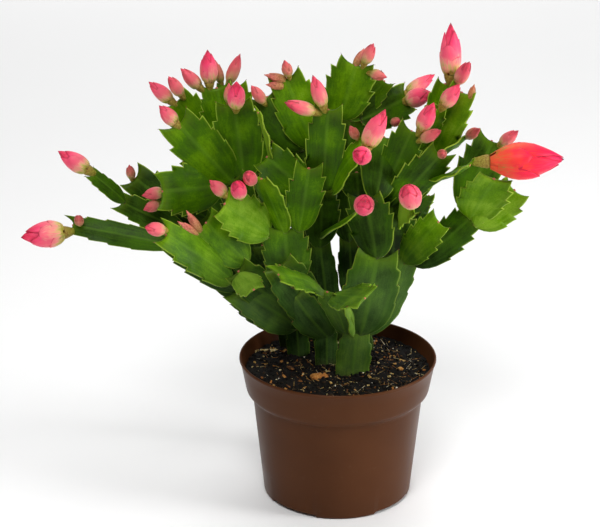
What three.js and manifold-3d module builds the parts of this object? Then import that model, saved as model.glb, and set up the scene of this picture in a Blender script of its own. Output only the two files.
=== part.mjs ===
// A christmas cactus in bud, eight rooted cuttings in one brown plastic pot.
// Millimetres, +Z up, origin at the middle of the pot's underside, viewer on the -Y side.
import * as THREE from "three";
import { mergeVertices } from "three/addons/utils/BufferGeometryUtils.js";
import Module from "manifold-3d";

const wasm = await Module();
wasm.setup();

// ---- pot ----
const POT_HEIGHT = 89;
const RIM_RADIUS = 60;
const BAND_FOOT_RADIUS = 56; // the rim band narrows to this at its lower edge
const BAND_FOOT_Z = 69.5;
const NECK_RADIUS = 51.9; // the body just under the band
const NECK_Z = 64.5;
const BASE_RADIUS = 45.4;
const WALL = 1.3;
const FLOOR = 3.6;
const POT_SIDES = 34;
const FEET = 4;
const FOOT_TURN = THREE.MathUtils.degToRad(6); // the front foot stands a little to the right
const NOTCH_ANGLE = THREE.MathUtils.degToRad(44);
const NOTCH_INNER_RADIUS = 35;
const NOTCH_DEPTH = 2.3;
const SLOT_LENGTH = 14;
const SLOT_WIDTH = 4;

// ---- soil ----
const FIT = 0.35; // what the soil keeps clear of the pot and of each stem
const SOIL_TOP = 80.5;
const SOIL_SIDES = 22;
const SOIL_RINGS = [0.84, 0.6, 0.32]; // shares of the soil's radius
const SOIL_RELIEF = 1.1;

// ---- blades: the flat leaf-like joints of the stems ----
const RIB_THICKNESS = 2.8; // from here a blade thins out to its margins
const ROOT_THICKNESS = 1.3; // where it is rooted in the tip of another
const OLD_BLADE_SWELL = 1.6; // the joint that stands in the soil has turned thick and corky
const BOW = 0.05; // how far a blade arches along its length, as a share of it
const CUP = 0.12; // how far its margins curl, as a share of its half width
const TOOTH_SHIFT = 0.03; // the teeth of the two margins don't face each other
// Along the margin, half width, and along the rib, as shares of the length and of the half width.
const BLADE_STATIONS = [
  [0.0, 0.15, 0.0],
  [0.26, 0.87, 0.26],
  [0.67, 1.04, 0.65], // point of the lower tooth
  [0.7, 0.88, 0.71],
  [0.86, 0.96, 0.85], // point of the upper tooth
  [0.89, 0.78, 0.91],
  [1.08, 0.7, 1.0], // horn beside the blunt tip
];
const FIRST_TOOTH_STATION = 2;
const LAST_TOOTH_STATION = 5;

// ---- buds ----
const COLLAR_SHARE = 0.17; // the green ovary, as a share of the bud's length
const COLLAR_ROOT = 2; // how deep the ovary is sunk in the blade
const COLLAR_RADII = [0.17, 0.29]; // at its root and under the tepals, as shares of the width
const COLLAR_RADIUS_MIN = 0.9;
const COLLAR_RADIUS_MAX = 4.2;
const COLLAR_SIDES = 4;
const BUD_GAP = 0.3;
const BUD_SIDES = 6;
const BUD_RINGS = [
  // share of the length, share of the radius, how far the three outer scales stand out
  [0.0, 0.6, 0.0],
  [0.15, 0.92, 0.06],
  [0.48, 0.96, 0.08],
  [0.56, 0.89, -0.08],
  [1.0, 0.0, 0.0],
];
const FLOWER_RINGS = [
  [0.0, 0.4, 0.0],
  [0.17, 0.82, 0.04],
  [0.4, 1.0, 0.06],
  [0.62, 0.88, -0.08],
  [1.0, 0.0, 0.0],
];
const TEPAL_RINGS = [
  // share of the tepal's length, share of its half angle
  [0.0, 0.8],
  [0.5, 1.0],
  [1.0, 0.0],
];
const TEPAL_THICKNESS = 1.2;
const TEPAL_LIFT = 1.5; // how far the tip of a tepal stands off the bud

// Each blade: where it starts, where it ends, its width, and the way its broad face looks.
// Each bud: where it sits on its blade, its tip, its width, and the tepals of an opening one.
// A small bud is still green, and grows as one with its stem.
const PLANTS = {
  front: {
    blades: [
      [[7, -8, 66], [11, -10, 108], 21, [0.1, -1, 0.1]],
      [[13, -10, 106], [22, -20, 160], 33, [0.1, -1, 0.25]],
      [[17, -9, 106], [39, 2, 151], 27, [0.3, -1, 0.15]],
      [[5, -10, 107], [-7, -32, 143], 18, [-0.5, -1, 0.3]],
      [[9, -10, 106], [4, -30, 135], 10, [1, -0.5, 0.2]],
      [[-9, -30, 142], [-35, -60, 165], 20, [0.2, -0.45, 1]],
      [[-3, -33, 142], [14, -56, 149], 25, [0, -0.5, 1]],
      [[22, -20, 159], [15, -20, 197], 27, [-0.4, -1, 0.1]],
      [[32, 0, 153], [30, -8, 190], 28, [0.2, -1, 0]],
      [[39, 2, 149], [57, -28, 185], 20, [-0.1, -1, 0.5]],
      [[46, 3, 146], [78, -8, 181], 21, [-0.1, -1, 0.7]],
      [[77, -8, 180], [88, -30, 212], 27, [0.1, -1, 0.35]],
      [[80, -11, 176], [102, -12, 199], 25, [0.3, -1, 0.45]],
      [[73, -4, 184], [90, 10, 222], 26, [0.2, -1, 0.3]],
      [[22, -9, 188], [41, -18, 237], 21, [-0.3, -1, 0.1]],
      [[30, -8, 188], [57, -24, 225], 22, [0.3, -1, 0.1]],
      [[20, -22, 196], [26, -2, 228], 24, [0.3, -1, 0.1]],
      [[11, -18, 195], [10, -10, 209], 18, [0, -1, 0.6]],
      [[36, -5, 179], [40, -58, 207], 20, [1, -0.12, 0]],
      [[39, -6, 189], [54, 4, 219], 20, [0, -1, 0.1]],
      [[55, 3, 216], [70, -8, 257], 21, [-0.2, -1, 0.2]],
      [[52, 4, 218], [61, -1, 260], 16, [0.2, -1, 0.2]],
      [[48, 4, 220], [55, -12, 248], 15, [0.4, -1, 0.3]],
      [[59, 3, 215], [75, 8, 240], 14, [1, 0.25, -0.3]],
      [[56, -23, 223], [74, 4, 226], 11, [0.8, 0.3, -0.3]],
      [[52, -17, 207], [73, -38, 223], 9, [0, -0.3, 1]],
    ],
    buds: [
      [[64, -1, 260], [63, -2, 297], 12, 5],
      [[67, -3, 260], [73, -20, 279], 8],
      [[58, -11, 248], [68, -17, 265], 9],
      [[45, -20, 236], [53, -27, 257], 10],
      [[45, -21, 232], [57, -35, 243], 7],
      [[40, -58, 206], [36, -81, 225], 13],
      [[58, -24, 225], [58, -38, 230], 5.5],
      [[74, 1, 227], [80, -22, 240], 6],
      [[94, 10, 219], [105, 3, 231], 7],
      [[76, -35, 224], [127, -36, 226], 22, 7],
      [[75, -9, 254], [77, -10, 263], 4],
    ],
  },
  middle: {
    blades: [
      [[-7, 6, 66], [-7, 4, 109], 14, [0.2, -1, 0]],
      [[-5, 5, 98], [-26, -6, 130], 22, [-0.3, -1, 0.2]],
      [[-5, 5, 107], [-11, 12, 156], 17, [0.1, -1, 0]],
      [[-10, 4, 107], [-35, -18, 154], 26, [0.1, -1, 0.2]],
      [[-29, -9, 137], [-32, -14, 175], 28, [0, -1, 0.1]],
      [[-24, -14, 174], [-18, -26, 217], 21, [0.1, -1, 0.2]],
      [[-41, -14, 172], [-66, -36, 199], 26, [0.05, -1, 0.45]],
      [[-32, -14, 173], [-45, -30, 212], 17, [-0.6, -1, 0.2]],
      [[-17, -14, 198], [-42, -8, 218], 24, [0.1, -1, 0.15]],
      [[-40, -8, 217], [-47, -12, 246], 13, [1, 0.15, 0]],
      [[-11, 12, 154], [-10, -15, 200], 22, [0, -1, 0.1]],
      [[-10, -14, 198], [-7, -29, 253], 22, [-0.1, -1, 0.15]],
      [[-4, -14, 198], [12, -36, 233], 15, [-0.9, -0.6, 0.4]],
      [[-11, 9, 163], [12, -45, 199], 14, [-0.5, -0.1, 0.9]],
    ],
    buds: [
      [[-12, -29, 251], [-32, -40, 261], 8],
      [[-9, -30, 253], [-16, -37, 276], 8],
      [[13, -39, 231], [25, -40, 257], 11],
      [[14, -40, 229], [9, -64, 238], 10],
      [[10, -31, 236], [5, -39, 247], 5.5],
      [[13, -45, 200], [13, -69, 212], 11],
      [[-64, -33, 202], [-75, -31, 212], 8],
      [[-57, -31, 201], [-59, -48, 217], 9],
      [[-50, -27, 209], [-53, -49, 222], 8],
    ],
  },
  left: {
    blades: [
      [[-23, 22, 66], [-25, 16, 102], 14, [0, -1, 0]],
      [[-25, 16, 100], [-60, -14, 138], 25, [0.1, -1, 0.5]],
      [[-30, 16, 100], [-58, 10, 122], 20, [0.1, -1, 0.3]],
      [[-21, 16, 101], [-59, -22, 152], 23, [0.2, -1, 0.3]],
      [[-59, -13, 137], [-96, -20, 168], 19, [0.1, -1, 0.3]],
      [[-63, -24, 146], [-99, -52, 186], 22, [0.1, -1, 0.9]],
      [[-54, -19, 156], [-77, -32, 186], 24, [0.2, -1, 0.5]],
      [[-59, -21, 151], [-50, -40, 148], 17, [0.2, -1, 0.5]],
      [[-56, 10, 121], [-85, 10, 171], 27, [0.1, -1, 0.3]],
      [[-94, -20, 167], [-156, -14, 178], 14, [0.1, -1, 0.5]],
      [[-85, 10, 169], [-122, 24, 194], 24, [0.1, -1, 0.2]],
      [[-91, 8, 165], [-129, 6, 185], 16, [0.2, -1, 0.6]],
      [[-127, 6, 185], [-145, 2, 204], 10, [0.3, -1, 0.6]],
      [[-78, 12, 173], [-102, 2, 193], 14, [0.1, -1, 0.1]],
    ],
    buds: [
      [[-157, -16, 175], [-185, -29, 176], 16, 6],
      [[-152, -14, 178], [-152, -24, 188], 5.5],
      [[-145, 2, 205], [-165, 1, 219], 11],
      [[-124, 24, 193], [-125, 18, 205], 5.5],
      [[-102, 1, 194], [-116, -7, 194], 7],
      [[-105, 1, 187], [-115, -10, 186], 7],
      [[-99, -50, 188], [-110, -64, 195], 8],
      [[-81, -35, 183], [-88, -43, 198], 5],
      [[-83, -36, 181], [-93, -45, 192], 5],
    ],
  },
  back_left: {
    blades: [
      [[-26, 30, 66], [-32, 28, 112], 15, [0, -1, 0]],
      [[-32, 28, 111], [-46, 16, 154], 22, [0, -1, 0]],
      [[-50, 16, 152], [-63, 2, 201], 22, [0, -1, 0]],
      [[-56, 2, 201], [-61, -6, 249], 28, [0, -1, 0.1]],
      [[-69, 2, 197], [-102, -28, 204], 29, [0.1, -1, 0.3]],
      [[-63, 2, 199], [-93, -12, 239], 28, [0.1, -1, 0.3]],
      [[-41, 16, 154], [-66, 16, 218], 20, [0, -1, 0]],
      [[-71, 16, 214], [-95, 6, 247], 25, [0.1, -1, 0.2]],
      [[-65, 16, 216], [-72, 18, 252], 24, [0.1, -1, 0.1]],
      [[-60, 16, 218], [-63, 24, 251], 24, [-0.1, -1, 0.1]],
      [[-44, 17, 142], [-60, 10, 177], 22, [0.1, -1, 0.2]],
    ],
    buds: [
      [[-93, -12, 238], [-104, -13, 251], 8],
      [[-96, 6, 246], [-111, 5, 260], 8],
      [[-91, 6, 250], [-99, -1, 265], 7],
      [[-80, 17, 251], [-93, 16, 265], 8],
      [[-76, 18, 252], [-77, 17, 276], 10],
      [[-69, 25, 251], [-73, 24, 268], 5.5],
      [[-66, 24, 251], [-58, 23, 272], 7],
      [[-64, -5, 248], [-64, -4, 262], 6],
      [[-60, -7, 246], [-59, -22, 268], 10],
    ],
  },
  back: {
    blades: [
      [[-6, 24, 66], [-9, 34, 111], 15, [0, -1, 0]],
      [[-9, 34, 110], [-14, 26, 151], 18, [0, -1, 0]],
      [[-14, 26, 149], [-19, 10, 190], 22, [0, -1, 0]],
      [[-19, 11, 189], [-21, 4, 220], 22, [0, -1, 0]],
      [[-21, 4, 218], [-42, 0, 252], 25, [0.1, -1, 0.1]],
      [[-14, 4, 219], [-31, -4, 264], 26, [0, -1, 0.2]],
      [[-27, 4, 218], [-44, 18, 237], 20, [0.3, -1, 0]],
    ],
    buds: [
      [[-43, -1, 248], [-51, -13, 263], 7],
      [[-32, -4, 264], [-44, -5, 267], 5],
      [[-33, -4, 260], [-43, -5, 261], 5],
      [[-29, -5, 265], [-32, -13, 278], 6],
    ],
  },
  right: {
    blades: [
      [[20, 26, 66], [9, 30, 113], 14, [0, -1, 0]],
      [[10, 30, 111], [7, 22, 155], 16, [0, -1, 0]],
      [[7, 22, 154], [6, 10, 195], 22, [0, -1, 0]],
      [[6, 10, 193], [6, 4, 238], 20, [0, -1, 0]],
      [[0, 4, 237], [9, -4, 272], 27, [0, -1, 0.15]],
      [[12, 4, 237], [39, 18, 246], 24, [0, -1, 0.2]],
      [[6, 4, 237], [26, 12, 258], 15, [0.1, -1, 0.2]],
    ],
    buds: [
      [[9, -3, 272], [14, 2, 281], 5],
      [[13, -5, 272], [19, -10, 287], 7],
      [[16, -4, 268], [27, -11, 267], 6],
      [[37, 20, 246], [57, 28, 258], 8],
      [[38, 17, 244], [54, 6, 253], 11],
      [[31, 10, 233], [35, 0, 238], 5.5],
    ],
  },
  rear_left: {
    blades: [
      [[-15, 41, 66], [-25, 46, 108], 14, [0, -1, 0]],
      [[-25, 46, 107], [-43, 54, 145], 22, [0.1, -1, -0.2]],
      [[-42, 54, 143], [-57, 64, 173], 24, [0.6, -0.8, -0.3]],
      [[-60, 61, 171], [-76, 62, 200], 25, [0.7, -0.7, 0]],
      [[-52, 66, 173], [-51, 75, 202], 24, [-0.5, -0.9, -0.2]],
      [[-48, 54, 140], [-72, 70, 154], 24, [0.3, -1, -0.5]],
      [[-71, 69, 153], [-94, 72, 177], 23, [0.8, -0.6, 0]],
      [[-51, 75, 201], [-65, 72, 229], 22, [0.7, -0.8, 0]],
      [[-36, 54, 146], [-29, 72, 170], 24, [-0.6, -0.8, -0.3]],
      [[-30, 71, 169], [-25, 75, 205], 24, [-0.7, -0.7, 0]],
    ],
    buds: [
      [[-76, 62, 200], [-81, 55, 212], 6],
      [[-65, 72, 229], [-67, 62, 237], 5.5],
      [[-25, 75, 205], [-23, 68, 219], 6],
    ],
  },
  rear_right: {
    blades: [
      [[5, 42, 66], [9, 47, 108], 14, [0, -1, 0]],
      [[9, 47, 106], [19, 54, 149], 22, [-0.1, -1, -0.2]],
      [[15, 54, 148], [24, 65, 182], 24, [-0.5, -0.9, -0.3]],
      [[24, 65, 180], [14, 68, 216], 24, [0.7, -0.7, 0]],
      [[30, 61, 180], [43, 84, 181], 22, [-0.8, -0.6, -0.4]],
      [[23, 54, 146], [49, 68, 150], 22, [-0.4, -1, -0.5]],
      [[48, 67, 150], [58, 75, 165], 20, [-0.9, -0.6, 0]],
      [[18, 68, 181], [-1, 84, 193], 22, [0.7, -0.8, -0.4]],
      [[15, 68, 214], [2, 75, 228], 22, [0.6, -0.8, 0]],
    ],
    buds: [
      [[14, 68, 216], [17, 54, 229], 6],
    ],
  },
};
const GREEN_BUD_WIDTH = 5; // buds up to this width haven't coloured yet
const FLOWER_TEPALS = 7; // a bud with as many tepals is opening, and is called a flower

const MATERIALS = {
  pot: new THREE.MeshStandardMaterial({ color: 0x51301f, roughness: 0.45, metalness: 0 }),
  soil: new THREE.MeshStandardMaterial({ color: 0x2a1d14, roughness: 1, metalness: 0 }),
  stem: new THREE.MeshStandardMaterial({ color: 0x3c6212, roughness: 0.4, metalness: 0 }),
  bud: new THREE.MeshStandardMaterial({ color: 0xec6a84, roughness: 0.5, metalness: 0 }),
  flower: new THREE.MeshStandardMaterial({ color: 0xf0383c, roughness: 0.5, metalness: 0 }),
};

// ---- solids ----
function solidOf(geometry) {
  const bare = geometry.clone();
  bare.deleteAttribute("normal");
  bare.deleteAttribute("uv");
  const merged = mergeVertices(bare, 1e-4);
  const vertProperties = merged.attributes.position.array;
  const corners = merged.index.array;
  const kept = [];
  for (let i = 0; i < corners.length; i += 3) {
    const [a, b, c] = corners.subarray(i, i + 3);
    if (a !== b && b !== c && c !== a) kept.push(a, b, c); // a side drawn to a point has gone
  }
  const triVerts = new Uint32Array(kept);
  return new wasm.Manifold(new wasm.Mesh({ numProp: 3, vertProperties, triVerts }));
}

function geometryOf(solid) {
  const mesh = solid.getMesh();
  const geometry = new THREE.BufferGeometry();
  geometry.setAttribute("position", new THREE.BufferAttribute(mesh.vertProperties, 3));
  geometry.setIndex(new THREE.BufferAttribute(mesh.triVerts, 1));
  return geometry;
}

function join(solids) {
  return solids.reduce((whole, solid) => whole.add(solid));
}

// Moves every vertex of a geometry to the place that a function gives it.
function reshape(geometry, place) {
  const position = geometry.attributes.position;
  const point = new THREE.Vector3();
  for (let i = 0; i < position.count; i += 1) {
    point.fromBufferAttribute(position, i);
    const moved = place(point);
    position.setXYZ(i, moved.x, moved.y, moved.z);
  }
  return geometry;
}

// The directions of a piece that runs from one point to another: along it, out of its face, across.
function frameOf(from, to, face) {
  const start = new THREE.Vector3(...from);
  const along = new THREE.Vector3(...to).sub(start);
  const length = along.length();
  along.normalize();
  const out = new THREE.Vector3(...face);
  out.addScaledVector(along, -out.dot(along)).normalize();
  const across = new THREE.Vector3().crossVectors(along, out);
  return { start, length, along, out, across };
}

// A slab in small squares, whose two broad faces are split into triangles alike.
function twoFacedGrid(columns, rows) {
  const slab = new THREE.BoxGeometry(1, 1, 1, columns, rows, 1);
  const back = slab.groups[5];
  const index = slab.index.array;
  for (let i = back.start; i < back.start + back.count; i += 6) {
    const [a, b, d, , c] = index.subarray(i, i + 6);
    index.set([a, b, c, a, c, d], i);
  }
  return slab;
}

// ---- pot ----
function potWall() {
  const inner = BASE_RADIUS - WALL;
  const profile = [
    [0, 0],
    [BASE_RADIUS - 1.8, 0],
    [BASE_RADIUS - 0.5, 0.6],
    [BASE_RADIUS, 1.8],
    [NECK_RADIUS, NECK_Z],
    [BAND_FOOT_RADIUS - 0.9, BAND_FOOT_Z - 1.9],
    [BAND_FOOT_RADIUS, BAND_FOOT_Z],
    [RIM_RADIUS - 0.7, POT_HEIGHT - 2],
    [RIM_RADIUS, POT_HEIGHT - 1],
    [RIM_RADIUS - 0.2, POT_HEIGHT],
    [RIM_RADIUS - WALL, POT_HEIGHT],
    [BAND_FOOT_RADIUS - WALL, BAND_FOOT_Z],
    [NECK_RADIUS - WALL, NECK_Z],
    [inner, FLOOR],
    [0, FLOOR],
  ].map(([r, z]) => new THREE.Vector2(r, z));
  // a lathe turns about Y, so it is tipped up to stand on Z
  return solidOf(new THREE.LatheGeometry(profile, POT_SIDES).rotateX(Math.PI / 2));
}

function notch(angle) {
  const outer = BASE_RADIUS + 3;
  const shape = new THREE.Shape();
  shape.absarc(0, 0, outer, angle - NOTCH_ANGLE / 2, angle + NOTCH_ANGLE / 2, false);
  shape.absarc(0, 0, NOTCH_INNER_RADIUS, angle + NOTCH_ANGLE / 2, angle - NOTCH_ANGLE / 2, true);
  const settings = { depth: NOTCH_DEPTH + 1, bevelEnabled: false, curveSegments: 6 };
  return solidOf(new THREE.ExtrudeGeometry(shape, settings).translate(0, 0, -1));
}

function drainSlot(angle) {
  const half = SLOT_LENGTH / 2 - SLOT_WIDTH / 2;
  const shape = new THREE.Shape();
  shape.absarc(0, half, SLOT_WIDTH / 2, 0, Math.PI, false);
  shape.absarc(0, -half, SLOT_WIDTH / 2, Math.PI, 2 * Math.PI, false);
  const settings = { depth: FLOOR + 2, bevelEnabled: false, curveSegments: 4 };
  const slot = new THREE.ExtrudeGeometry(shape, settings);
  slot.translate((NOTCH_INNER_RADIUS + BASE_RADIUS) / 2 - 1.5, 0, -1).rotateZ(angle);
  return solidOf(slot);
}

function potSolid() {
  let pot = potWall();
  for (let i = 0; i < FEET; i += 1) {
    const foot = -Math.PI / 2 + FOOT_TURN + (i * 2 * Math.PI) / FEET;
    const between = foot + Math.PI / FEET;
    pot = pot.subtract(notch(between)).subtract(drainSlot(between));
  }
  return pot;
}

// ---- soil ----
function soilHeight(x, y, radius) {
  const edge = THREE.MathUtils.clamp((50 - radius) / 10, 0, 1);
  const lumps = Math.sin(0.19 * x + 1) * Math.cos(0.23 * y) + 0.6 * Math.sin(0.41 * x - 0.33 * y);
  return SOIL_TOP + edge * SOIL_RELIEF * lumps;
}

function soilSolid(stems) {
  const bottom = BASE_RADIUS - WALL - 1 - FIT;
  const neck = NECK_RADIUS - WALL - FIT;
  const slope = (RIM_RADIUS - BAND_FOOT_RADIUS) / (POT_HEIGHT - BAND_FOOT_Z);
  const top = BAND_FOOT_RADIUS - WALL - FIT + slope * (SOIL_TOP - BAND_FOOT_Z) * 0.9;
  const profile = [
    [0, FLOOR + FIT],
    [bottom - 0.6, FLOOR + FIT],
    [neck - 0.1, NECK_Z],
    [BAND_FOOT_RADIUS - WALL - FIT - 0.1, BAND_FOOT_Z],
    [top, SOIL_TOP],
    ...SOIL_RINGS.map((share) => [share * top, SOIL_TOP]),
    [0, SOIL_TOP],
  ].map(([r, z]) => new THREE.Vector2(r, z));
  const body = new THREE.LatheGeometry(profile, SOIL_SIDES).rotateX(Math.PI / 2);
  reshape(body, (p) => {
    const radius = Math.hypot(p.x, p.y);
    if (p.z > SOIL_TOP - 0.01 && radius < top - 0.01) p.z = soilHeight(p.x, p.y, radius);
    return p;
  });
  return stems.reduce((soil, stem) => soil.subtract(stem), solidOf(body));
}

// ---- blades ----
// One blade, as a grid of three lines of points along it, on two faces. The fit makes it larger
// all round, for the hole in the soil.
function blade([from, to, width, face], index, fit = 0) {
  const { start, length, along, out, across } = frameOf(from, to, face);
  const last = BLADE_STATIONS.length - 1;
  const swell = index === 0 ? OLD_BLADE_SWELL : 1;
  const bow = BOW * length * Math.sin(1.7 * index);
  const cup = index === 0 ? 0 : CUP * Math.sin(2.3 * index + 1);
  const grid = twoFacedGrid(2, last);
  reshape(grid, (p) => {
    const side = Math.round(2 * p.x);
    const layer = Math.sign(p.z);
    const station = Math.round((p.y + 0.5) * last);
    const [margin, half, rib] = BLADE_STATIONS[station];
    const toothed = station >= FIRST_TOOTH_STATION && station <= LAST_TOOTH_STATION;
    const shift = toothed ? side * TOOTH_SHIFT * (index % 2 ? 1 : -1) : 0;
    const share = side === 0 ? rib : margin + shift;
    const rooted = station === 0 && index > 0;
    const thickness = side === 0 ? swell * (rooted ? ROOT_THICKNESS : RIB_THICKNESS) : 0;
    const endways = station === 0 ? -fit : 0;
    const sideways = side * ((half * width) / 2 + fit);
    const curl = side === 0 ? 0 : cup * half * half * (width / 2);
    const arch = bow * 4 * share * (1 - share);
    return start
      .clone()
      .addScaledVector(along, share * length + endways)
      .addScaledVector(across, sideways)
      .addScaledVector(out, layer * (thickness / 2 + fit) + arch + curl);
  });
  return solidOf(grid);
}

// ---- buds ----
// A round piece from one point to another, with its rings given as [share, radius at each side].
function spindle(from, to, sides, rings, radiusAt) {
  const { start, length, along, out, across } = frameOf(from, to, [0.3, -0.5, 0.8]);
  const last = rings.length - 1;
  const tube = new THREE.CylinderGeometry(1, 1, 1, sides, last);
  reshape(tube, (p) => {
    const ring = Math.round((p.y + 0.5) * last);
    const column = Math.round((Math.atan2(p.x, p.z) / (2 * Math.PI)) * sides);
    const distance = Math.hypot(p.x, p.z) < 0.5 ? 0 : radiusAt(ring, (column + sides) % sides);
    const angle = (column * 2 * Math.PI) / sides;
    return start
      .clone()
      .addScaledVector(along, rings[ring][0] * length)
      .addScaledVector(across, distance * Math.sin(angle))
      .addScaledVector(out, distance * Math.cos(angle));
  });
  return solidOf(tube);
}

function pointBetween(from, to, share) {
  return from.map((value, i) => value + (to[i] - value) * share);
}

function collar([from, to, width]) {
  const length = Math.hypot(...to.map((value, i) => value - from[i]));
  const root = pointBetween(from, to, -COLLAR_ROOT / length);
  const rim = pointBetween(from, to, COLLAR_SHARE);
  const radii = COLLAR_RADII.map((share) =>
    THREE.MathUtils.clamp(share * width, COLLAR_RADIUS_MIN, COLLAR_RADIUS_MAX),
  );
  return spindle(root, rim, COLLAR_SIDES, [[0], [1]], (ring) => radii[ring]);
}

function budBody(from, to, width, rings) {
  return spindle(from, to, BUD_SIDES, rings, (ring, column) => {
    const [, radius, step] = rings[ring];
    return (radius + (column % 2 ? -step : step)) * (width / 2);
  });
}

function budRadius(share, width, rings) {
  const next = rings.findIndex(([at]) => at >= share);
  if (next < 1) return (rings[Math.max(next, 0)][1] * width) / 2;
  const [a, radiusA] = rings[next - 1];
  const [b, radiusB] = rings[next];
  return (THREE.MathUtils.mapLinear(share, a, b, radiusA, radiusB) * width) / 2;
}

// One pointed tepal that lies on the bud from the first share of its length to the second.
function tepal(from, to, width, rings, first, second, angle, halfAngle) {
  const { start, length, along, out, across } = frameOf(from, to, [0.3, -0.5, 0.8]);
  const last = TEPAL_RINGS.length - 1;
  const grid = twoFacedGrid(2, last);
  reshape(grid, (p) => {
    const side = Math.round(2 * p.x);
    const [share, spread] = TEPAL_RINGS[Math.round((p.y + 0.5) * last)];
    const at = THREE.MathUtils.lerp(first, second, share);
    const radiusHere = budRadius(at, width, rings);
    const inner = Math.max(radiusHere * 0.72, 0.3);
    const skin = radiusHere + TEPAL_LIFT * share * share;
    const outer = Math.max(skin, inner) + TEPAL_THICKNESS * (side === 0 ? 0.6 : 0.3);
    const radius = p.z > 0 ? outer : inner;
    const turn = angle - side * spread * halfAngle;
    return start
      .clone()
      .addScaledVector(along, at * length)
      .addScaledVector(across, -radius * Math.sin(turn))
      .addScaledVector(out, radius * Math.cos(turn));
  });
  return solidOf(grid);
}

function pinkBud([foot, tip, width, tepals = 0]) {
  const length = Math.hypot(...tip.map((value, i) => value - foot[i]));
  const from = pointBetween(foot, tip, COLLAR_SHARE + BUD_GAP / length);
  const rings = tepals >= FLOWER_TEPALS ? FLOWER_RINGS : BUD_RINGS;
  const pieces = [budBody(from, tip, width, rings)];
  for (let i = 0; i < tepals; i += 1) {
    const tier = Math.floor((3 * i) / tepals); // three tiers, each further up than the last
    const angle = (i * 2 * Math.PI * 3) / tepals + tier;
    pieces.push(tepal(from, tip, width, rings, 0.04 + 0.14 * tier, 0.5 + 0.2 * tier, angle, 0.6));
  }
  return join(pieces);
}

function greenBud([foot, tip, width]) {
  return budBody(pointBetween(foot, tip, -0.12), tip, width, BUD_RINGS);
}

// ---- the part ----
const group = new THREE.Group();

function addMesh(name, solid, material) {
  const mesh = new THREE.Mesh(geometryOf(solid), material);
  mesh.name = name;
  group.add(mesh);
}

function addPlant(name, { blades, buds }) {
  const pieces = blades.map((row, index) => blade(row, index));
  buds.forEach((row) => pieces.push(row[2] > GREEN_BUD_WIDTH ? collar(row) : greenBud(row)));
  addMesh(`stem_${name}`, join(pieces), MATERIALS.stem);
  const coloured = buds.filter((row) => row[2] > GREEN_BUD_WIDTH);
  coloured.forEach((row, index) => {
    const open = row[3] >= FLOWER_TEPALS;
    const material = open ? MATERIALS.flower : MATERIALS.bud;
    const label = open ? `flower_${name}` : `bud_${name}_${index + 1}`;
    addMesh(label, pinkBud(row), material);
  });
}

addMesh("pot", potSolid(), MATERIALS.pot);
const holes = Object.values(PLANTS).map(({ blades }) => blade(blades[0], 0, FIT));
addMesh("soil", soilSolid(holes), MATERIALS.soil);
Object.entries(PLANTS).forEach(([name, plant]) => addPlant(name, plant));

export default group;
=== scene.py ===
"""Looks of a christmas cactus in bud, eight rooted cuttings in one brown plastic pot."""

import math
import random

import bmesh
import bpy
from mathutils import Matrix, Vector, noise


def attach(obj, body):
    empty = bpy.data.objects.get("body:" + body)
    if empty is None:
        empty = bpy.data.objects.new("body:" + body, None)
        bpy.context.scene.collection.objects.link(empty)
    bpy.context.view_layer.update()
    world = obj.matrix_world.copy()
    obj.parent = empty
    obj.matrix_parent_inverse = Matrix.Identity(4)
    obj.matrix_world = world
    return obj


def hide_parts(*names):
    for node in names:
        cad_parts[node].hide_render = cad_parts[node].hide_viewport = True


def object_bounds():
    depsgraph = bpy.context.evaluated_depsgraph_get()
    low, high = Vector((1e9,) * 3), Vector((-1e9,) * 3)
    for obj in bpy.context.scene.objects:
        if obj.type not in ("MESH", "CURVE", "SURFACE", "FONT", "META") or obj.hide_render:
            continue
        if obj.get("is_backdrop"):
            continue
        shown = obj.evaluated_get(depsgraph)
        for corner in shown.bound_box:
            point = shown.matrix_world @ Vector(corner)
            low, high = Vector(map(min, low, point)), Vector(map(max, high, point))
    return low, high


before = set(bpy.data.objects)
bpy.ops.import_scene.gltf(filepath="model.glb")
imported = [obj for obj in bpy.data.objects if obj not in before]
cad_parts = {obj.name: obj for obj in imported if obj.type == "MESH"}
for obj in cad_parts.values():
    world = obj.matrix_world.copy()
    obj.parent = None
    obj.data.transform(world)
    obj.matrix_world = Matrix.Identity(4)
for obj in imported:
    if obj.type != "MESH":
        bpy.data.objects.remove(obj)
box_at_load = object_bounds()

MM = 0.001  # a piece is made in millimetres and scaled when it is finished

# ---- camera and studio, in metres ----
CAMERA_PITCH = 21.2
CAMERA_DISTANCE = 1.2
CAMERA_TARGET = (-0.023, 0, 0.1486)
LENS = 120.3
SENSOR = 36
WORLD_STRENGTH = 0.08
FLOOR_SIZE = 6
PLANT_MIDDLE = (0, 0, 0.15)
# Each light: name, place, size, power, and where it points, if not at the plant.
STUDIO_LIGHTS = [
    ("key", (-0.2, -0.9, 1.3), (0.6, 0.6), 14),
    ("right", (1, -0.3, 0.4), (0.35, 0.9), 11),
    ("left", (-1.1, -0.4, 0.5), (0.4, 0.9), 0.4),
    ("top", (0.1, 0.3, 1.4), (0.9, 0.9), 7),
    ("backdrop", (0, 2.6, 1.8), (4, 1.5), 75, (0, 2.9, 0)),
    ("floor_left", (-1.3, 0, 1.2), (4, 1), 60, (-3.2, 0, 0)),
    ("floor_right", (1.3, 0, 1.2), (4, 1), 60, (3.2, 0, 0)),
    ("floor_front", (0, -1.5, 1.2), (4, 1), 60, (0, -3.4, 0)),
    ("floor_back", (0, 3.2, 1.2), (4, 0.6), 40, (0, 5, 0)),
]

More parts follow.
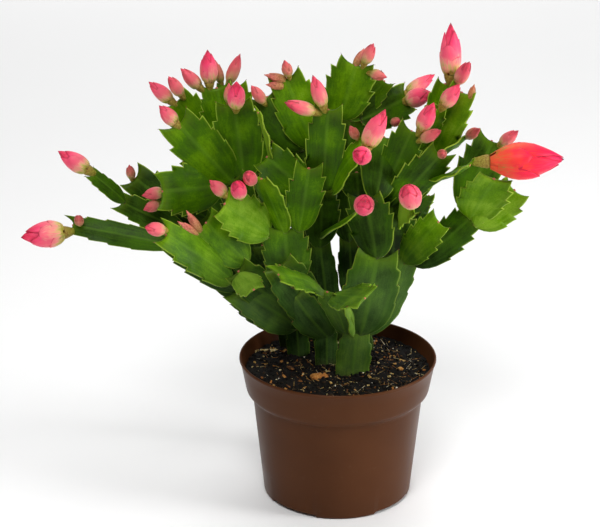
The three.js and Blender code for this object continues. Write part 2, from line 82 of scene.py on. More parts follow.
# ---- pot ----
POT_HEIGHT = 89
RIM_RADIUS = 60
BAND_RADIUS = 56  # where the rim band starts
BAND_Z = 69.5
NECK_RADIUS = 51.9
NECK_Z = 64.5
BASE_RADIUS = 45.4
WALL = 1.3
FLOOR = 3.6
FEET = 4
FOOT_TURN = 6  # degrees
NOTCH_ANGLE = 44
NOTCH_RADIUS = 35
NOTCH_DEPTH = 2.3
SLOT_RADII = (36.3, 40.3)
SLOT_HALF_ANGLE = 10
# The half section, from the middle underneath over the rim to the middle inside.
POT_OUTLINE = [
    (0, 0),
    (NOTCH_RADIUS - 0.1, 0),
    (NOTCH_RADIUS + 0.1, 0),
    (SLOT_RADII[0], 0),
    (SLOT_RADII[1], 0),
    (BASE_RADIUS - 1.9, 0),
    (BASE_RADIUS - 1.1, 0.15),
    (BASE_RADIUS - 0.4, 0.7),
    (BASE_RADIUS, 1.8),
    (BASE_RADIUS + 2.2, 23),
    (BASE_RADIUS + 4.5, 45),
    (NECK_RADIUS - 0.15, NECK_Z - 1.5),
    (NECK_RADIUS, NECK_Z),
    (NECK_RADIUS + 0.35, NECK_Z + 0.6),
    (NECK_RADIUS + 1.1, NECK_Z + 1.3),
    (BAND_RADIUS - 1.2, BAND_Z - 2.1),
    (BAND_RADIUS - 0.4, BAND_Z - 1.2),
    (BAND_RADIUS, BAND_Z),
    (BAND_RADIUS + 0.35, BAND_Z + 1.6),
    (BAND_RADIUS + 1.9, BAND_Z + 10),
    (RIM_RADIUS - 0.8, POT_HEIGHT - 2.8),
    (RIM_RADIUS - 0.3, POT_HEIGHT - 2),
    (RIM_RADIUS, POT_HEIGHT - 1.2),
    (RIM_RADIUS - 0.05, POT_HEIGHT - 0.6),
    (RIM_RADIUS - 0.35, POT_HEIGHT - 0.15),
    (RIM_RADIUS - 0.8, POT_HEIGHT),
    (RIM_RADIUS - 1.2, POT_HEIGHT - 0.2),
    (RIM_RADIUS - 1.5, POT_HEIGHT - 0.7),
    (RIM_RADIUS - 1.9, POT_HEIGHT - 2.6),
    (BAND_RADIUS - WALL, BAND_Z),
    (NECK_RADIUS - WALL, NECK_Z),
    (BASE_RADIUS - WALL, FLOOR + 1),
    (BASE_RADIUS - WALL - 0.8, FLOOR),
    (SLOT_RADII[1], FLOOR),
    (SLOT_RADII[0], FLOOR),
    (0, FLOOR),
]
POT_STEP = 2  # degrees between the columns of the pot's wall
POT_CREASE = 38  # degrees; the pot is smooth where it bends less

# ---- soil ----
FIT = 0.35  # between the soil and the pot
SOIL_TOP = 80.5
SOIL_RADIUS = 56
SOIL_RINGS = 48
SOIL_STEP = 2.5  # degrees between the columns of the soil
SOIL_LEVEL_RADIUS = 50
SOIL_SHOULDER = 10  # over which the lumps fade towards the wall
SOIL_LUMPS = 1.1
SOIL_CRUMBLE = 1.5
CRUMBLE_SCALE = 0.3
SOIL_GRIT = 1.1
GRIT_SCALE = 0.8
SOIL_SEED = 81
SOIL_TINT = 0.1
SOIL_TINT_SPREAD = 0.16
SOIL_TINT_SCALE = 0.2
# Bits strewn on the soil: how many, how far out, their sizes, how far some tilt, their tints.
CRUMB_SIDES = (0.6, 1.4)  # of each side, next to the whole crumb
CRUMBS = (1500, 55, (0.8, 2.8), (0, 0.4, 0.06))  # most crumbs are dark
CHIPS = (130, 53, ((1.2, 4), (0.8, 2), (0.6, 1.2)), 0.6, (0.45, 0.85))
PERLITE = (150, 54, (0.5, 1.4), (0.8, 1))
FIBRE_SIDES = 5
FIBRES = (420, 51, ((0.15, 0.4), (0.15, 0.4), (2.5, 11)), 0.35, (0.5, 0.95))
# What shows on the soil from the front: shape, place, size, turn and tint.
SEEN_BITS = [
    ("chip", (-11, -15), (12, 6, 3), (0.5, 0.2, 0.1), 0.64),
    ("chip", (-29, -3), (7, 3.5, 1.5), (2.1, 0.3, 0), 0.5),
    ("crumb", (38, -2), (6, 5, 4), (0.4, 0, 0), 0.72),
    ("crumb", (-35, -5), (2, 2, 1.6), (0, 0, 0), 0.9),
    ("crumb", (4, -12), (2.6, 1.6, 1.6), (0.3, 0, 0), 0.9),
    ("crumb", (-6, -8), (3.5, 1.5, 1.2), (0.2, 0, 0), 0.84),
    ("crumb", (15, -9), (2.2, 2, 1.6), (0, 0, 0), 0.95),
    ("crumb", (20, -11), (1.8, 1.5, 1.2), (0, 0, 0), 0.88),
    ("chip", (-43, 25), (16, 4, 1.2), (0.05, 0.5, 0), 0.86),
    ("fibre", (30, 33), (0.6, 0.5, 26), (0.2, 1.5, 0), 0.92),
    ("fibre", (42, 12), (0.5, 0.5, 22), (1.1, 1.6, 0), 0.88),
    ("fibre", (50, -10), (0.5, 0.4, 16), (0.9, 1.5, 0), 0.86),
    ("fibre", (22, 30), (0.8, 0.6, 9), (2.6, 1.4, 0), 1.0),
]

# ---- blades, the flat joints of a stem ----
RIB_THICKNESS = 2.5
TIP_THICKNESS = 1.8
EDGE_THICKNESS = 0.7
FOOT_THICKNESS = 0.6  # as a share of the thickness farther up
FOOT_SWELL = 3
FACE_ROUNDING = 1.7
MIDRIB = 0.7  # how much the midrib stands out, all in all
MIDRIB_SPREAD = 0.22
MIDRIB_FADE = 0.7
OLD_SWELL = 1.6
BOW = 0.05
BOW_PACE = 1.7  # radians from one joint of a stem to the next, so that all differ
CUP = 0.12
CUP_PACE = 2.3
FOLDS = (-0.04, 0.16)
TWIST = 0.2
TWIST_START = 0.3
MARGIN_WAVE = 0.7
WAVES = (1.2, 2.2)
TOOTH_SHIFT = 0.03
TOOTH_SPREAD = (-0.035, 0.045)
TONE_SPREAD = 0.04
BLADE_COLUMNS = 10
COLUMN_CROWDING = 1.5  # the columns stand closer towards the margins
ROW_SWEEP = 2.2  # the rows turn up into the teeth towards the margins
OLD_HEIGHT = 120  # a blade that starts below this has blunt teeth
OLD_WEAR = 0.6
SLENDER_WIDTH = 18  # a narrower blade has small teeth
SLENDER_WEAR = 0.45
CORK = (0.3, 6)  # at the foot, and how fast it fades along the blade
OLD_CORK = (0.6, 1.3)
BRISTLE_CHANCE = 0.75
BRISTLE_LENGTH = (0.7, 1.5)
BRISTLE_WIDTH = (0.35, 0.6)
BRISTLE_SPREAD = 0.5
BRISTLE_RISE = 0.25
BRISTLE_INWARD = 0.6  # where it points away from, as a share of the way out
NUB_SIZE = (1.1, 1.8)
NUB_AHEAD = 0.3
NUB_BREADTH = 1.3
NUB_BLUSH = 0.8
# Along the margin, half width, along the rib: shares of the length and of the half width.
BLADE_ROWS = [
    (0, 0.11, 0.0),
    (0.02, 0.24, 0.025),
    (0.06, 0.44, 0.07),
    (0.13, 0.65, 0.14),
    (0.22, 0.82, 0.225),
    (0.32, 0.93, 0.32),
    (0.4, 0.985, 0.39),
    (0.465, 1.035, 0.43),  # small low tooth
    (0.452, 0.95, 0.455),
    (0.52, 0.985, 0.51),
    (0.6, 1.03, 0.58),
    (0.685, 1.08, 0.63),  # middle tooth
    (0.672, 0.89, 0.66),
    (0.73, 0.93, 0.72),
    (0.79, 0.96, 0.77),
    (0.875, 0.995, 0.81),  # upper tooth
    (0.862, 0.78, 0.845),
    (0.92, 0.79, 0.92),
    (1.01, 0.775, 0.965),
    (1.11, 0.72, 1.0),  # horn beside the blunt tip
]
LAST_ROW = len(BLADE_ROWS) - 1
TOOTHED_ROWS = range(6, 17)
TOOTH_TIPS = (7, 11, 15)
NOTCHES = (0, 12, 16, 19)  # the rows with a tuft of bristles in their corner

# ---- buds ----
BUD_FACE = (0.3, -0.5, 0.8)
BUD_GAP = 0.3  # between a bud and its ovary
BUD_SLACK = 0.94  # leaves room in a bud's width for the scales that lie on it
CORE_SINK = 0.15
CORE_SIDES = 14
CORE_RINGS = 11
COLLAR_SHARE = 0.17  # how much of a bud's length its green ovary takes
COLLAR_ROOT = 2
COLLAR_OVERLAP = 0.9
OVARY_WIDTH_SHARE = 0.3
OVARY_RADII = (0.9, 3.9)
OVARY_RIBS = 5
OVARY_RIB_DEPTH = 0.06
OVARY_FLUSH = 0.25
OVARY_PROFILE = [(0, 0.45), (0.3, 0.68), (0.6, 0.92), (0.85, 1.04), (1, 0.88)]
GREEN_BUD_WIDTH = 5
GREEN_BUD_ROOT = 0.3  # how far a green bud reaches back into its joint, in its lengths
GREEN_FLUSH = (0.1, 0.9)
GREEN_FLUSH_FOOT = 0.3
FLUSH_WIDTH = 3.4  # at which a green bud starts to redden
FLUSH_SPAN = 1.2
WIDE_BUD_WIDTH = 6.5
RIPE_WIDTH = 3.5  # at which a coloured bud starts to ripen
RIPE_SPAN = 5.5
RIPENESS = (0.35, 1)
RIPENESS_SPREAD = (0.85, 1)
# Share of the bud's length, share of its radius.
BUD_PROFILE = [
    (0, 0.62),
    (0.06, 0.78),
    (0.14, 0.91),
    (0.25, 0.99),
    (0.36, 1.0),
    (0.52, 0.91),
    (0.68, 0.7),
    (0.82, 0.45),
    (0.93, 0.22),
    (1, 0.03),
]
FLOWER_PROFILE = [
    (0, 0.36),
    (0.08, 0.54),
    (0.18, 0.77),
    (0.3, 0.94),
    (0.42, 1.0),
    (0.6, 0.87),
    (0.78, 0.57),
    (0.92, 0.26),
    (1, 0.02),
]
# Share of the tepal's length, share of its half angle.
TEPAL_OUTLINE = [(0, 0.8), (0.25, 1), (0.5, 0.98), (0.72, 0.8), (0.88, 0.5), (0.96, 0.26), (1, 0.05)]
TEPAL_THICKNESS = 0.6
TEPAL_THICKNESS_SHARE = 0.055  # of a small bud's width
TEPAL_CURL = 2.5
TEPAL_CROWN = 0.02
TEPAL_CLEARANCE = 0.1
TEPAL_SIDE_THINNING = 0.7
TEPAL_TIP_THINNING = 0.6
TEPAL_RIM = (0.75, 0.88)  # where the darker rim starts, across and along
TEPAL_RIM_RISE = (4, 8)  # how fast it darkens from there
TEPAL_COLUMNS = 6
TEPAL_STEPS = 7
SCALE_TINT = 0.07
SCALE_HALF_TURN = 1.15
SCALE_LIFT = 0.018
SCALE_TURN_SPREAD = 0.12
SCALE_END_SPREAD = 0.05
SCALE_LIFT_SPREAD = (0.7, 1.3)
LOOSE_LIFT = 0.35
SCALES_ROUND = 3
# The tiers of scales, the lowest first: from share to share of the bud's length.
WIDE_TIERS = [(0, 0.4), (0.06, 0.64), (0.2, 0.86)]
SMALL_TIERS = [(0, 0.45), (0.1, 0.75)]
# The flower's tepals: from share to share of its length, turn, half turn and lift of the tip.
FLOWER_SCALES = [
    (0, 0.56, 0.5, 0.8, 0.5),
    (0, 0.66, 1.9, 0.85, 1.5),
    (0, 0.6, 3.3, 0.85, 1.0),
    (0, 0.7, 4.8, 0.85, 0.8),
    (0.08, 0.99, -0.5, 1.15, 0.3),
    (0.1, 0.96, 1.3, 1.1, 0.4),
    (0.1, 0.93, 2.7, 1.1, 0.6),
    (0.1, 0.9, 4.1, 1.1, 0.6),
]

# ---- the plain shapes that pieces are copied from ----
SLAB_THICKNESS = 0.1
CONE_TOP = 0.12
FLAKE_CORNER = 0.2
NEAR_POLE = 0.9999

# ---- what the points of a piece carry for its look ----
STEM_LAYERS = ("tone", "across", "along", "cork", "fruit", "bristle", "blush")
PETAL_LAYERS = ("up", "edge", "ripe")
SOIL_LAYERS = ["tint"]

# ---- colours ----
NOISE_RANGE = (0.3, 0.7)
POT_BROWNS = [(0.3, (0.065, 0.0222, 0.0076)), (0.7, (0.078, 0.0278, 0.01))]
DUST = (0.24, 0.17, 0.12)
FLOOR_WHITES = [(0, (0.93, 0.93, 0.93)), (1, (0.96, 0.96, 0.96))]
# From black peat over bark and straw to perlite.
PEAT_COLOURS = [
    (0, (0.002, 0.0015, 0.001)),
    (0.3, (0.007, 0.005, 0.003)),
    (0.5, (0.05, 0.026, 0.01)),
    (0.62, (0.34, 0.115, 0.022)),
    (0.78, (0.46, 0.28, 0.075)),
    (0.9, (0.66, 0.54, 0.25)),
    (1, (0.85, 0.8, 0.68)),
]
# Dark to light, on young joints and on old ones.
GREENS = [
    (0, (0.012, 0.03, 0.001)),
    (0.2, (0.03, 0.071, 0.004)),
    (0.45, (0.048, 0.129, 0.001)),
    (0.7, (0.105, 0.232, 0.001)),
    (1, (0.2, 0.35, 0.02)),
]
OLD_GREENS = [
    (0, (0.012, 0.026, 0.008)),
    (0.2, (0.031, 0.064, 0.017)),
    (0.45, (0.053, 0.1, 0.024)),
    (0.7, (0.085, 0.15, 0.026)),
    (1, (0.16, 0.26, 0.04)),
]
OLD_GREEN_HEIGHTS = (0.185, 0.12)  # metres; joints turn old from the first down to the second
MIDRIB_GREEN = (0.12, 0.25, 0.02)
SHADED_GREEN = (0.024, 0.075, 0.001)
# A pale line along the margin, mostly a painted highlight where the rounded edge catches the light.
MARGIN_GREEN_AND_HIGHLIGHT = (0.3, 0.42, 0.04)
YOUNG_GREEN = (0.17, 0.27, 0.01)
CORKS = [(0.35, (0.07, 0.05, 0.022)), (0.65, (0.2, 0.16, 0.09))]
OVARY_GREENS = [(0.3, (0.13, 0.12, 0.008)), (0.7, (0.27, 0.29, 0.03))]
FLUSHES = [(0.3, (0.48, 0.085, 0.085)), (0.7, (0.68, 0.21, 0.17))]
BRISTLE_BROWN = (0.16, 0.055, 0.03)
# Foot to tip.
PINKS = [
    (0, (0.36, 0.34, 0.04)),
    (0.1, (0.64, 0.44, 0.15)),
    (0.24, (0.9, 0.31, 0.25)),
    (0.4, (0.9, 0.115, 0.18)),
    (0.66, (0.88, 0.05, 0.15)),
    (0.92, (0.66, 0.015, 0.075)),
    (1, (0.13, 0.01, 0.02)),
]
PINK_VEIN = (0.95, 0.55, 0.42)
PINK_RIM = (0.42, 0.012, 0.05)
REDS = [
    (0, (0.36, 0.22, 0.03)),
    (0.08, (0.72, 0.13, 0.04)),
    (0.28, (0.88, 0.05, 0.03)),
    (0.55, (0.86, 0.01, 0.045)),
    (0.95, (0.7, 0.004, 0.08)),
    (1, (0.05, 0.004, 0.01)),
]
RED_VEIN = (0.9, 0.12, 0.08)
RED_RIM = (0.38, 0.004, 0.025)
UNRIPE = [(0, (0.2, 0.22, 0.025)), (0.6, (0.4, 0.2, 0.09)), (1, (0.5, 0.08, 0.1))]

# ---- plants ----
# Each blade: start, end, width, the way its face looks, how light its green is: partly its own tone,
# partly painted light and shade, darker for blades deep in the plant and lighter for some edge-on blades
# as a painted highlight.
BLADES = {
    "front": [
        ((7, -8, 66), (11, -10, 108), 21, (0.1, -1, 0.1), 0.55),
        ((13, -10, 106), (22, -20, 160), 33, (0.1, -1, 0.25), 0.28),
        ((17, -9, 106), (39, 2, 151), 27, (0.3, -1, 0.15), 0.36),
        ((5, -10, 107), (-7, -32, 143), 18, (-0.5, -1, 0.3), 0.5),
        ((9, -10, 106), (4, -30, 135), 10, (1, -0.5, 0.2), 0.75),
        ((-9, -30, 142), (-35, -60, 165), 20, (0.2, -0.45, 1), 0.62),
        ((-3, -33, 142), (14, -56, 149), 25, (0, -0.5, 1), 0.66),
        ((22, -20, 159), (15, -20, 197), 27, (-0.4, -1, 0.1), 0.25),
        ((32, 0, 153), (30, -8, 190), 28, (0.2, -1, 0), 0.15),
        ((39, 2, 149), (57, -28, 185), 20, (-0.1, -1, 0.5), 0.62),
        ((46, 3, 146), (78, -8, 181), 21, (-0.1, -1, 0.7), 0.2),
        ((77, -8, 180), (88, -30, 212), 27, (0.1, -1, 0.35), 0.78),
        ((80, -11, 176), (102, -12, 199), 25, (0.3, -1, 0.45), 0.85),
        ((73, -4, 184), (90, 10, 222), 26, (0.2, -1, 0.3), 0.3),
        ((22, -9, 188), (41, -18, 237), 21, (-0.3, -1, 0.1), 0.38),
        ((30, -8, 188), (57, -24, 225), 22, (0.3, -1, 0.1), 0.32),
        ((20, -22, 196), (26, -2, 228), 24, (0.3, -1, 0.1), 0.2),
        ((11, -18, 195), (10, -10, 209), 18, (0, -1, 0.6), 0.12),
        ((36, -5, 179), (40, -58, 207), 20, (1, -0.12, 0), 1.1),
        ((39, -6, 189), (54, 4, 219), 20, (0, -1, 0.1), 0.25),
        ((55, 3, 216), (70, -8, 257), 21, (-0.2, -1, 0.2), 0.65),
        ((52, 4, 218), (61, -1, 260), 16, (0.2, -1, 0.2), 0.5),
        ((48, 4, 220), (55, -12, 248), 15, (0.4, -1, 0.3), 0.55),
        ((59, 3, 215), (75, 8, 240), 14, (1, 0.25, -0.3), 0.6),
        ((56, -23, 223), (74, 4, 226), 11, (0.8, 0.3, -0.3), 0.35),
        ((52, -17, 207), (73, -38, 223), 9, (0, -0.3, 1), 0.55),
    ],
    "middle": [
        ((-7, 6, 66), (-7, 4, 109), 14, (0.2, -1, 0), 0.12),
        ((-5, 5, 98), (-26, -6, 130), 22, (-0.3, -1, 0.2), 0.2),
        ((-5, 5, 107), (-11, 12, 156), 17, (0.1, -1, 0), 0.12),
        ((-10, 4, 107), (-35, -18, 154), 26, (0.1, -1, 0.2), 0.22),
        ((-29, -9, 137), (-32, -14, 175), 28, (0, -1, 0.1), 0.35),
        ((-24, -14, 174), (-18, -26, 217), 21, (0.1, -1, 0.2), 0.42),
        ((-41, -14, 172), (-66, -36, 199), 26, (0.05, -1, 0.45), 0.72),
        ((-32, -14, 173), (-45, -30, 212), 17, (-0.6, -1, 0.2), 0.6),
        ((-17, -14, 198), (-42, -8, 218), 24, (0.1, -1, 0.15), 0.45),
        ((-40, -8, 217), (-47, -12, 246), 13, (1, 0.15, 0), 0.95),
        ((-11, 12, 154), (-10, -15, 200), 22, (0, -1, 0.1), 0.2),
        ((-10, -14, 198), (-7, -29, 253), 22, (-0.1, -1, 0.15), 0.42),
        ((-4, -14, 198), (12, -36, 233), 15, (-0.9, -0.6, 0.4), 0.55),
        ((-11, 9, 163), (12, -45, 199), 14, (-0.5, -0.1, 0.9), 0.5),
    ],
    "left": [
        ((-23, 22, 66), (-25, 16, 102), 14, (0, -1, 0), 0.1),
        ((-25, 16, 100), (-60, -14, 138), 25, (0.1, -1, 0.5), 0.4),
        ((-30, 16, 100), (-58, 10, 122), 20, (0.1, -1, 0.3), 0.2),
        ((-21, 16, 101), (-59, -22, 152), 23, (0.2, -1, 0.3), 0.15),
        ((-59, -13, 137), (-96, -20, 168), 19, (0.1, -1, 0.3), 0.18),
        ((-63, -24, 146), (-99, -52, 186), 22, (0.1, -1, 0.9), 0.6),
        ((-54, -19, 156), (-77, -32, 186), 24, (0.2, -1, 0.5), 0.55),
        ((-59, -21, 151), (-50, -40, 148), 17, (0.2, -1, 0.5), 0.92),
        ((-56, 10, 121), (-85, 10, 171), 27, (0.1, -1, 0.3), 0.35),
        ((-94, -20, 167), (-156, -14, 178), 14, (0.1, -1, 0.5), 0.2),
        ((-85, 10, 169), (-122, 24, 194), 24, (0.1, -1, 0.2), 0.12),
        ((-91, 8, 165), (-129, 6, 185), 16, (0.2, -1, 0.6), 0.22),
        ((-127, 6, 185), (-145, 2, 204), 10, (0.3, -1, 0.6), 0.35),
        ((-78, 12, 173), (-102, 2, 193), 14, (0.1, -1, 0.1), 0.15),
    ],
    "back_left": [
        ((-26, 30, 66), (-32, 28, 112), 15, (0, -1, 0), 0.1),
        ((-32, 28, 111), (-46, 16, 154), 22, (0, -1, 0), 0.1),
        ((-50, 16, 152), (-63, 2, 201), 22, (0, -1, 0), 0.15),
        ((-56, 2, 201), (-61, -6, 249), 28, (0, -1, 0.1), 0.38),
        ((-69, 2, 197), (-102, -28, 204), 29, (0.1, -1, 0.3), 0.45),
        ((-63, 2, 199), (-93, -12, 239), 28, (0.1, -1, 0.3), 0.48),
        ((-41, 16, 154), (-66, 16, 218), 20, (0, -1, 0), 0.15),
        ((-71, 16, 214), (-95, 6, 247), 25, (0.1, -1, 0.2), 0.55),
        ((-65, 16, 216), (-72, 18, 252), 24, (0.1, -1, 0.1), 0.45),
        ((-60, 16, 218), (-63, 24, 251), 24, (-0.1, -1, 0.1), 0.55),
        ((-44, 17, 142), (-60, 10, 177), 22, (0.1, -1, 0.2), 0.1),
    ],
    "back": [
        ((-6, 24, 66), (-9, 34, 111), 15, (0, -1, 0), 0.1),
        ((-9, 34, 110), (-14, 26, 151), 18, (0, -1, 0), 0.1),
        ((-14, 26, 149), (-19, 10, 190), 22, (0, -1, 0), 0.12),
        ((-19, 11, 189), (-21, 4, 220), 22, (0, -1, 0), 0.15),
        ((-21, 4, 218), (-42, 0, 252), 25, (0.1, -1, 0.1), 0.25),
        ((-14, 4, 219), (-31, -4, 264), 26, (0, -1, 0.2), 0.55),
        ((-27, 4, 218), (-44, 18, 237), 20, (0.3, -1, 0), 0.08),
    ],
    "right": [
        ((20, 26, 66), (9, 30, 113), 14, (0, -1, 0), 0.1),
        ((10, 30, 111), (7, 22, 155), 16, (0, -1, 0), 0.1),
        ((7, 22, 154), (6, 10, 195), 22, (0, -1, 0), 0.15),
        ((6, 10, 193), (6, 4, 238), 20, (0, -1, 0), 0.2),
        ((0, 4, 237), (9, -4, 272), 27, (0, -1, 0.15), 0.6),
        ((12, 4, 237), (39, 18, 246), 24, (0, -1, 0.2), 0.22),
        ((6, 4, 237), (26, 12, 258), 15, (0.1, -1, 0.2), 0.55),
    ],
    "rear_left": [
        ((-15, 41, 66), (-25, 46, 108), 14, (0, -1, 0), 0.1),
        ((-25, 46, 107), (-43, 54, 145), 22, (0.1, -1, -0.2), 0.2),
        ((-42, 54, 143), (-57, 64, 173), 24, (0.6, -0.8, -0.3), 0.3),
        ((-60, 61, 171), (-76, 62, 200), 25, (0.7, -0.7, 0), 0.4),
        ((-52, 66, 173), (-51, 75, 202), 24, (-0.5, -0.9, -0.2), 0.3),
        ((-48, 54, 140), (-72, 70, 154), 24, (0.3, -1, -0.5), 0.3),
        ((-71, 69, 153), (-94, 72, 177), 23, (0.8, -0.6, 0), 0.4),
        ((-51, 75, 201), (-65, 72, 229), 22, (0.7, -0.8, 0), 0.5),
        ((-36, 54, 146), (-29, 72, 170), 24, (-0.6, -0.8, -0.3), 0.3),
        ((-30, 71, 169), (-25, 75, 205), 24, (-0.7, -0.7, 0), 0.4),
    ],
    "rear_right": [
        ((5, 42, 66), (9, 47, 108), 14, (0, -1, 0), 0.1),
        ((9, 47, 106), (19, 54, 149), 22, (-0.1, -1, -0.2), 0.2),
        ((15, 54, 148), (24, 65, 182), 24, (-0.5, -0.9, -0.3), 0.3),
        ((24, 65, 180), (14, 68, 216), 24, (0.7, -0.7, 0), 0.4),
        ((30, 61, 180), (43, 84, 181), 22, (-0.8, -0.6, -0.4), 0.4),
        ((23, 54, 146), (49, 68, 150), 22, (-0.4, -1, -0.5), 0.3),
        ((48, 67, 150), (58, 75, 165), 20, (-0.9, -0.6, 0), 0.4),
        ((18, 68, 181), (-1, 84, 193), 22, (0.7, -0.8, -0.4), 0.4),
        ((15, 68, 214), (2, 75, 228), 22, (0.6, -0.8, 0), 0.4),
    ],
}
# Each bud: foot, tip, width, and a word for one that is loose or open.
BUDS = {
    "front": [
        ((64, -1, 260), (63, -2, 297), 12, "loose"),
        ((67, -3, 260), (73, -20, 279), 7.8),
        ((58, -11, 248), (68, -17, 265), 9),
        ((45, -20, 236), (53, -27, 257), 9.6),
        ((45, -21, 232), (57, -35, 243), 6.6),
        ((40, -58, 206), (36, -81, 225), 12.6),
        ((58, -24, 225), (58, -38, 230), 5.4),
        ((74, 1, 227), (80, -22, 240), 6),
        ((94, 10, 219), (105, 3, 231), 7.2),
        ((76, -35, 224), (127, -36, 226), 21.6, "open"),
        ((75, -9, 254), (77, -10, 263), 4.2),
    ],
    "middle": [
        ((-12, -29, 251), (-32, -40, 261), 7.8),
        ((-9, -30, 253), (-16, -37, 276), 8.4),
        ((13, -39, 231), (25, -40, 257), 11.4),
        ((14, -40, 229), (9, -64, 238), 10.2),
        ((10, -31, 236), (5, -39, 247), 5.4),
        ((13, -45, 200), (13, -69, 212), 11.4),
        ((-64, -33, 202), (-75, -31, 212), 7.8),
        ((-57, -31, 201), (-59, -48, 217), 9),
        ((-50, -27, 209), (-53, -49, 222), 7.8),
    ],
    "left": [
        ((-157, -16, 175), (-185, -29, 176), 15.6, "loose"),
        ((-152, -14, 178), (-152, -24, 188), 5.4),
        ((-145, 2, 205), (-165, 1, 219), 10.8),
        ((-124, 24, 193), (-125, 18, 205), 5.4),
        ((-102, 1, 194), (-116, -7, 194), 7.2),
        ((-105, 1, 187), (-115, -10, 186), 6.6),
        ((-102, 2, 194), (-105, -4, 201), 3),
        ((-99, -50, 188), (-110, -64, 195), 7.8),
        ((-81, -35, 183), (-88, -43, 198), 4.8),
        ((-83, -36, 181), (-93, -45, 192), 4.8),
    ],
    "back_left": [
        ((-93, -12, 238), (-104, -13, 251), 8.4),
        ((-96, 6, 246), (-111, 5, 260), 8.4),
        ((-91, 6, 250), (-99, -1, 265), 7.2),
        ((-80, 17, 251), (-93, 16, 265), 7.8),
        ((-76, 18, 252), (-77, 17, 276), 10.2),
        ((-69, 25, 251), (-73, 24, 268), 5.4),
        ((-66, 24, 251), (-58, 23, 272), 7.2),
        ((-64, -5, 248), (-64, -4, 262), 6),
        ((-60, -7, 246), (-59, -22, 268), 10.2),
    ],
    "back": [
        ((-43, -1, 248), (-51, -13, 263), 6.6),
        ((-32, -4, 264), (-44, -5, 267), 4.8),
        ((-33, -4, 260), (-43, -5, 261), 4.8),
        ((-29, -5, 265), (-32, -13, 278), 6),
    ],
    "right": [
        ((9, -3, 272), (14, 2, 281), 4.8),
        ((13, -5, 272), (19, -10, 287), 7.2),
        ((16, -4, 268), (27, -11, 267), 6),
        ((37, 20, 246), (57, 28, 258), 8.4),
        ((38, 17, 244), (54, 6, 253), 10.8),
        ((31, 10, 233), (35, 0, 238), 5.4),
    ],
    "rear_left": [
        ((-76, 62, 200), (-81, 55, 212), 6),
        ((-65, 72, 229), (-67, 62, 237), 5.4),
        ((-25, 75, 205), (-23, 68, 219), 6),
    ],
    "rear_right": [
        ((14, 68, 216), (17, 54, 229), 6),
    ],
}


def clamp(value, low, high):
    return max(low, min(high, value))


# ---- materials ----
class Look:
    """A material put together from procedural nodes."""

    def __init__(self, name):
        self.material = bpy.data.materials.new(name)
        self.material.use_nodes = True
        self.nodes = self.material.node_tree.nodes
        self.place = self.add("ShaderNodeTexCoord").outputs["Object"]

    def feed(self, value, socket):
        """Sets a socket to a number or a colour, or links it to another node's output."""
        if isinstance(value, bpy.types.NodeSocket):
            self.material.node_tree.links.new(value, socket)
        else:
            socket.default_value = (*value, 1) if socket.type == "RGBA" else value

    def add(self, kind, inputs=None, **settings):
        made = self.nodes.new(kind)
        for key, value in settings.items():
            setattr(made, key, value)
        for key, value in (inputs or {}).items():
            self.feed(value, made.inputs[key])
        return made

    def attribute(self, name):
        return self.add("ShaderNodeAttribute", attribute_name=name).outputs["Fac"]

    def noise(self, vector, scale, detail=3, roughness=0.5):
        inputs = {"Vector": vector, "Scale": scale, "Detail": detail, "Roughness": roughness}
        return self.add("ShaderNodeTexNoise", inputs).outputs["Fac"]

    def stretched(self, vector, scale):
        return self.add("ShaderNodeMapping", {"Vector": vector, "Scale": scale}).outputs["Vector"]

    def grain_along(self, scale, detail):
        """A noise that lies on the piece itself, across and along it."""
        surface = self.add("ShaderNodeUVMap").outputs["UV"]
        return self.noise(self.stretched(surface, scale), 1, detail)

    def math(self, operation, first, second=0, clamped=False):
        settings = {"operation": operation, "use_clamp": clamped}
        return self.add("ShaderNodeMath", {0: first, 1: second}, **settings).outputs["Value"]

    def between(self, value, low, high, to_low=0, to_high=1):
        """A soft step from to_low, where the value is low, to to_high, where it is high."""
        inputs = {"Value": value, "From Min": low, "From Max": high, "To Min": to_low, "To Max": to_high}
        return self.add("ShaderNodeMapRange", inputs, interpolation_type="SMOOTHSTEP").outputs["Result"]

    def spread(self, value, to_low, to_high):
        """The values that a noise mostly takes, spread over a new range."""
        return self.between(value, *NOISE_RANGE, to_low, to_high)

    def ramp(self, value, stops):
        made = self.add("ShaderNodeValToRGB", {"Fac": value})
        elements = made.color_ramp.elements
        while len(elements) < len(stops):
            elements.new(0.5)
        for element, (place, colour) in zip(elements, stops):
            element.position = place
            element.color = (*colour, 1)
        return made.outputs["Color"]

    def blend(self, share, first, second):
        inputs = {0: share, 6: first, 7: second}
        return self.add("ShaderNodeMix", inputs, data_type="RGBA").outputs[2]

    def bump(self, height, distance, strength):
        inputs = {"Height": height, "Distance": distance, "Strength": strength}
        return self.add("ShaderNodeBump", inputs).outputs["Normal"]

    def done(self, inputs):
        for name, value in inputs.items():
            self.feed(value, self.nodes["Principled BSDF"].inputs[name])
        return self.material


def pot_plastic():
    look = Look("brown_moulded_plastic")
    cloud = look.noise(look.place, 26)
    grain = look.noise(look.place, 900, 2)
    streaks = look.noise(look.stretched(look.place, (1, 1, 0.05)), 420, 2)
    dust = look.between(look.noise(look.place, 240, 4), 0.62, 0.8, 0, 0.05)
    return look.done({
        "Base Color": look.blend(dust, look.ramp(cloud, POT_BROWNS), DUST),
        "Roughness": look.spread(cloud, 0.3, 0.42),
        "Normal": look.bump(look.blend(0.5, grain, streaks), 0.00004, 0.5),
        "Specular IOR Level": 0.07,
    })


def peat_soil():
    look = Look("peat_with_bark_and_perlite")
    fine = look.noise(look.place, 700, 5, 0.65)
    tint = look.attribute("tint")
    varied = look.math("ADD", tint, look.spread(fine, -0.09, 0.09), clamped=True)
    return look.done({
        "Base Color": look.ramp(varied, PEAT_COLOURS),
        "Roughness": 0.9,
        "Normal": look.bump(fine, 0.0008, 0.8),
        "Specular IOR Level": 0.22,
    })


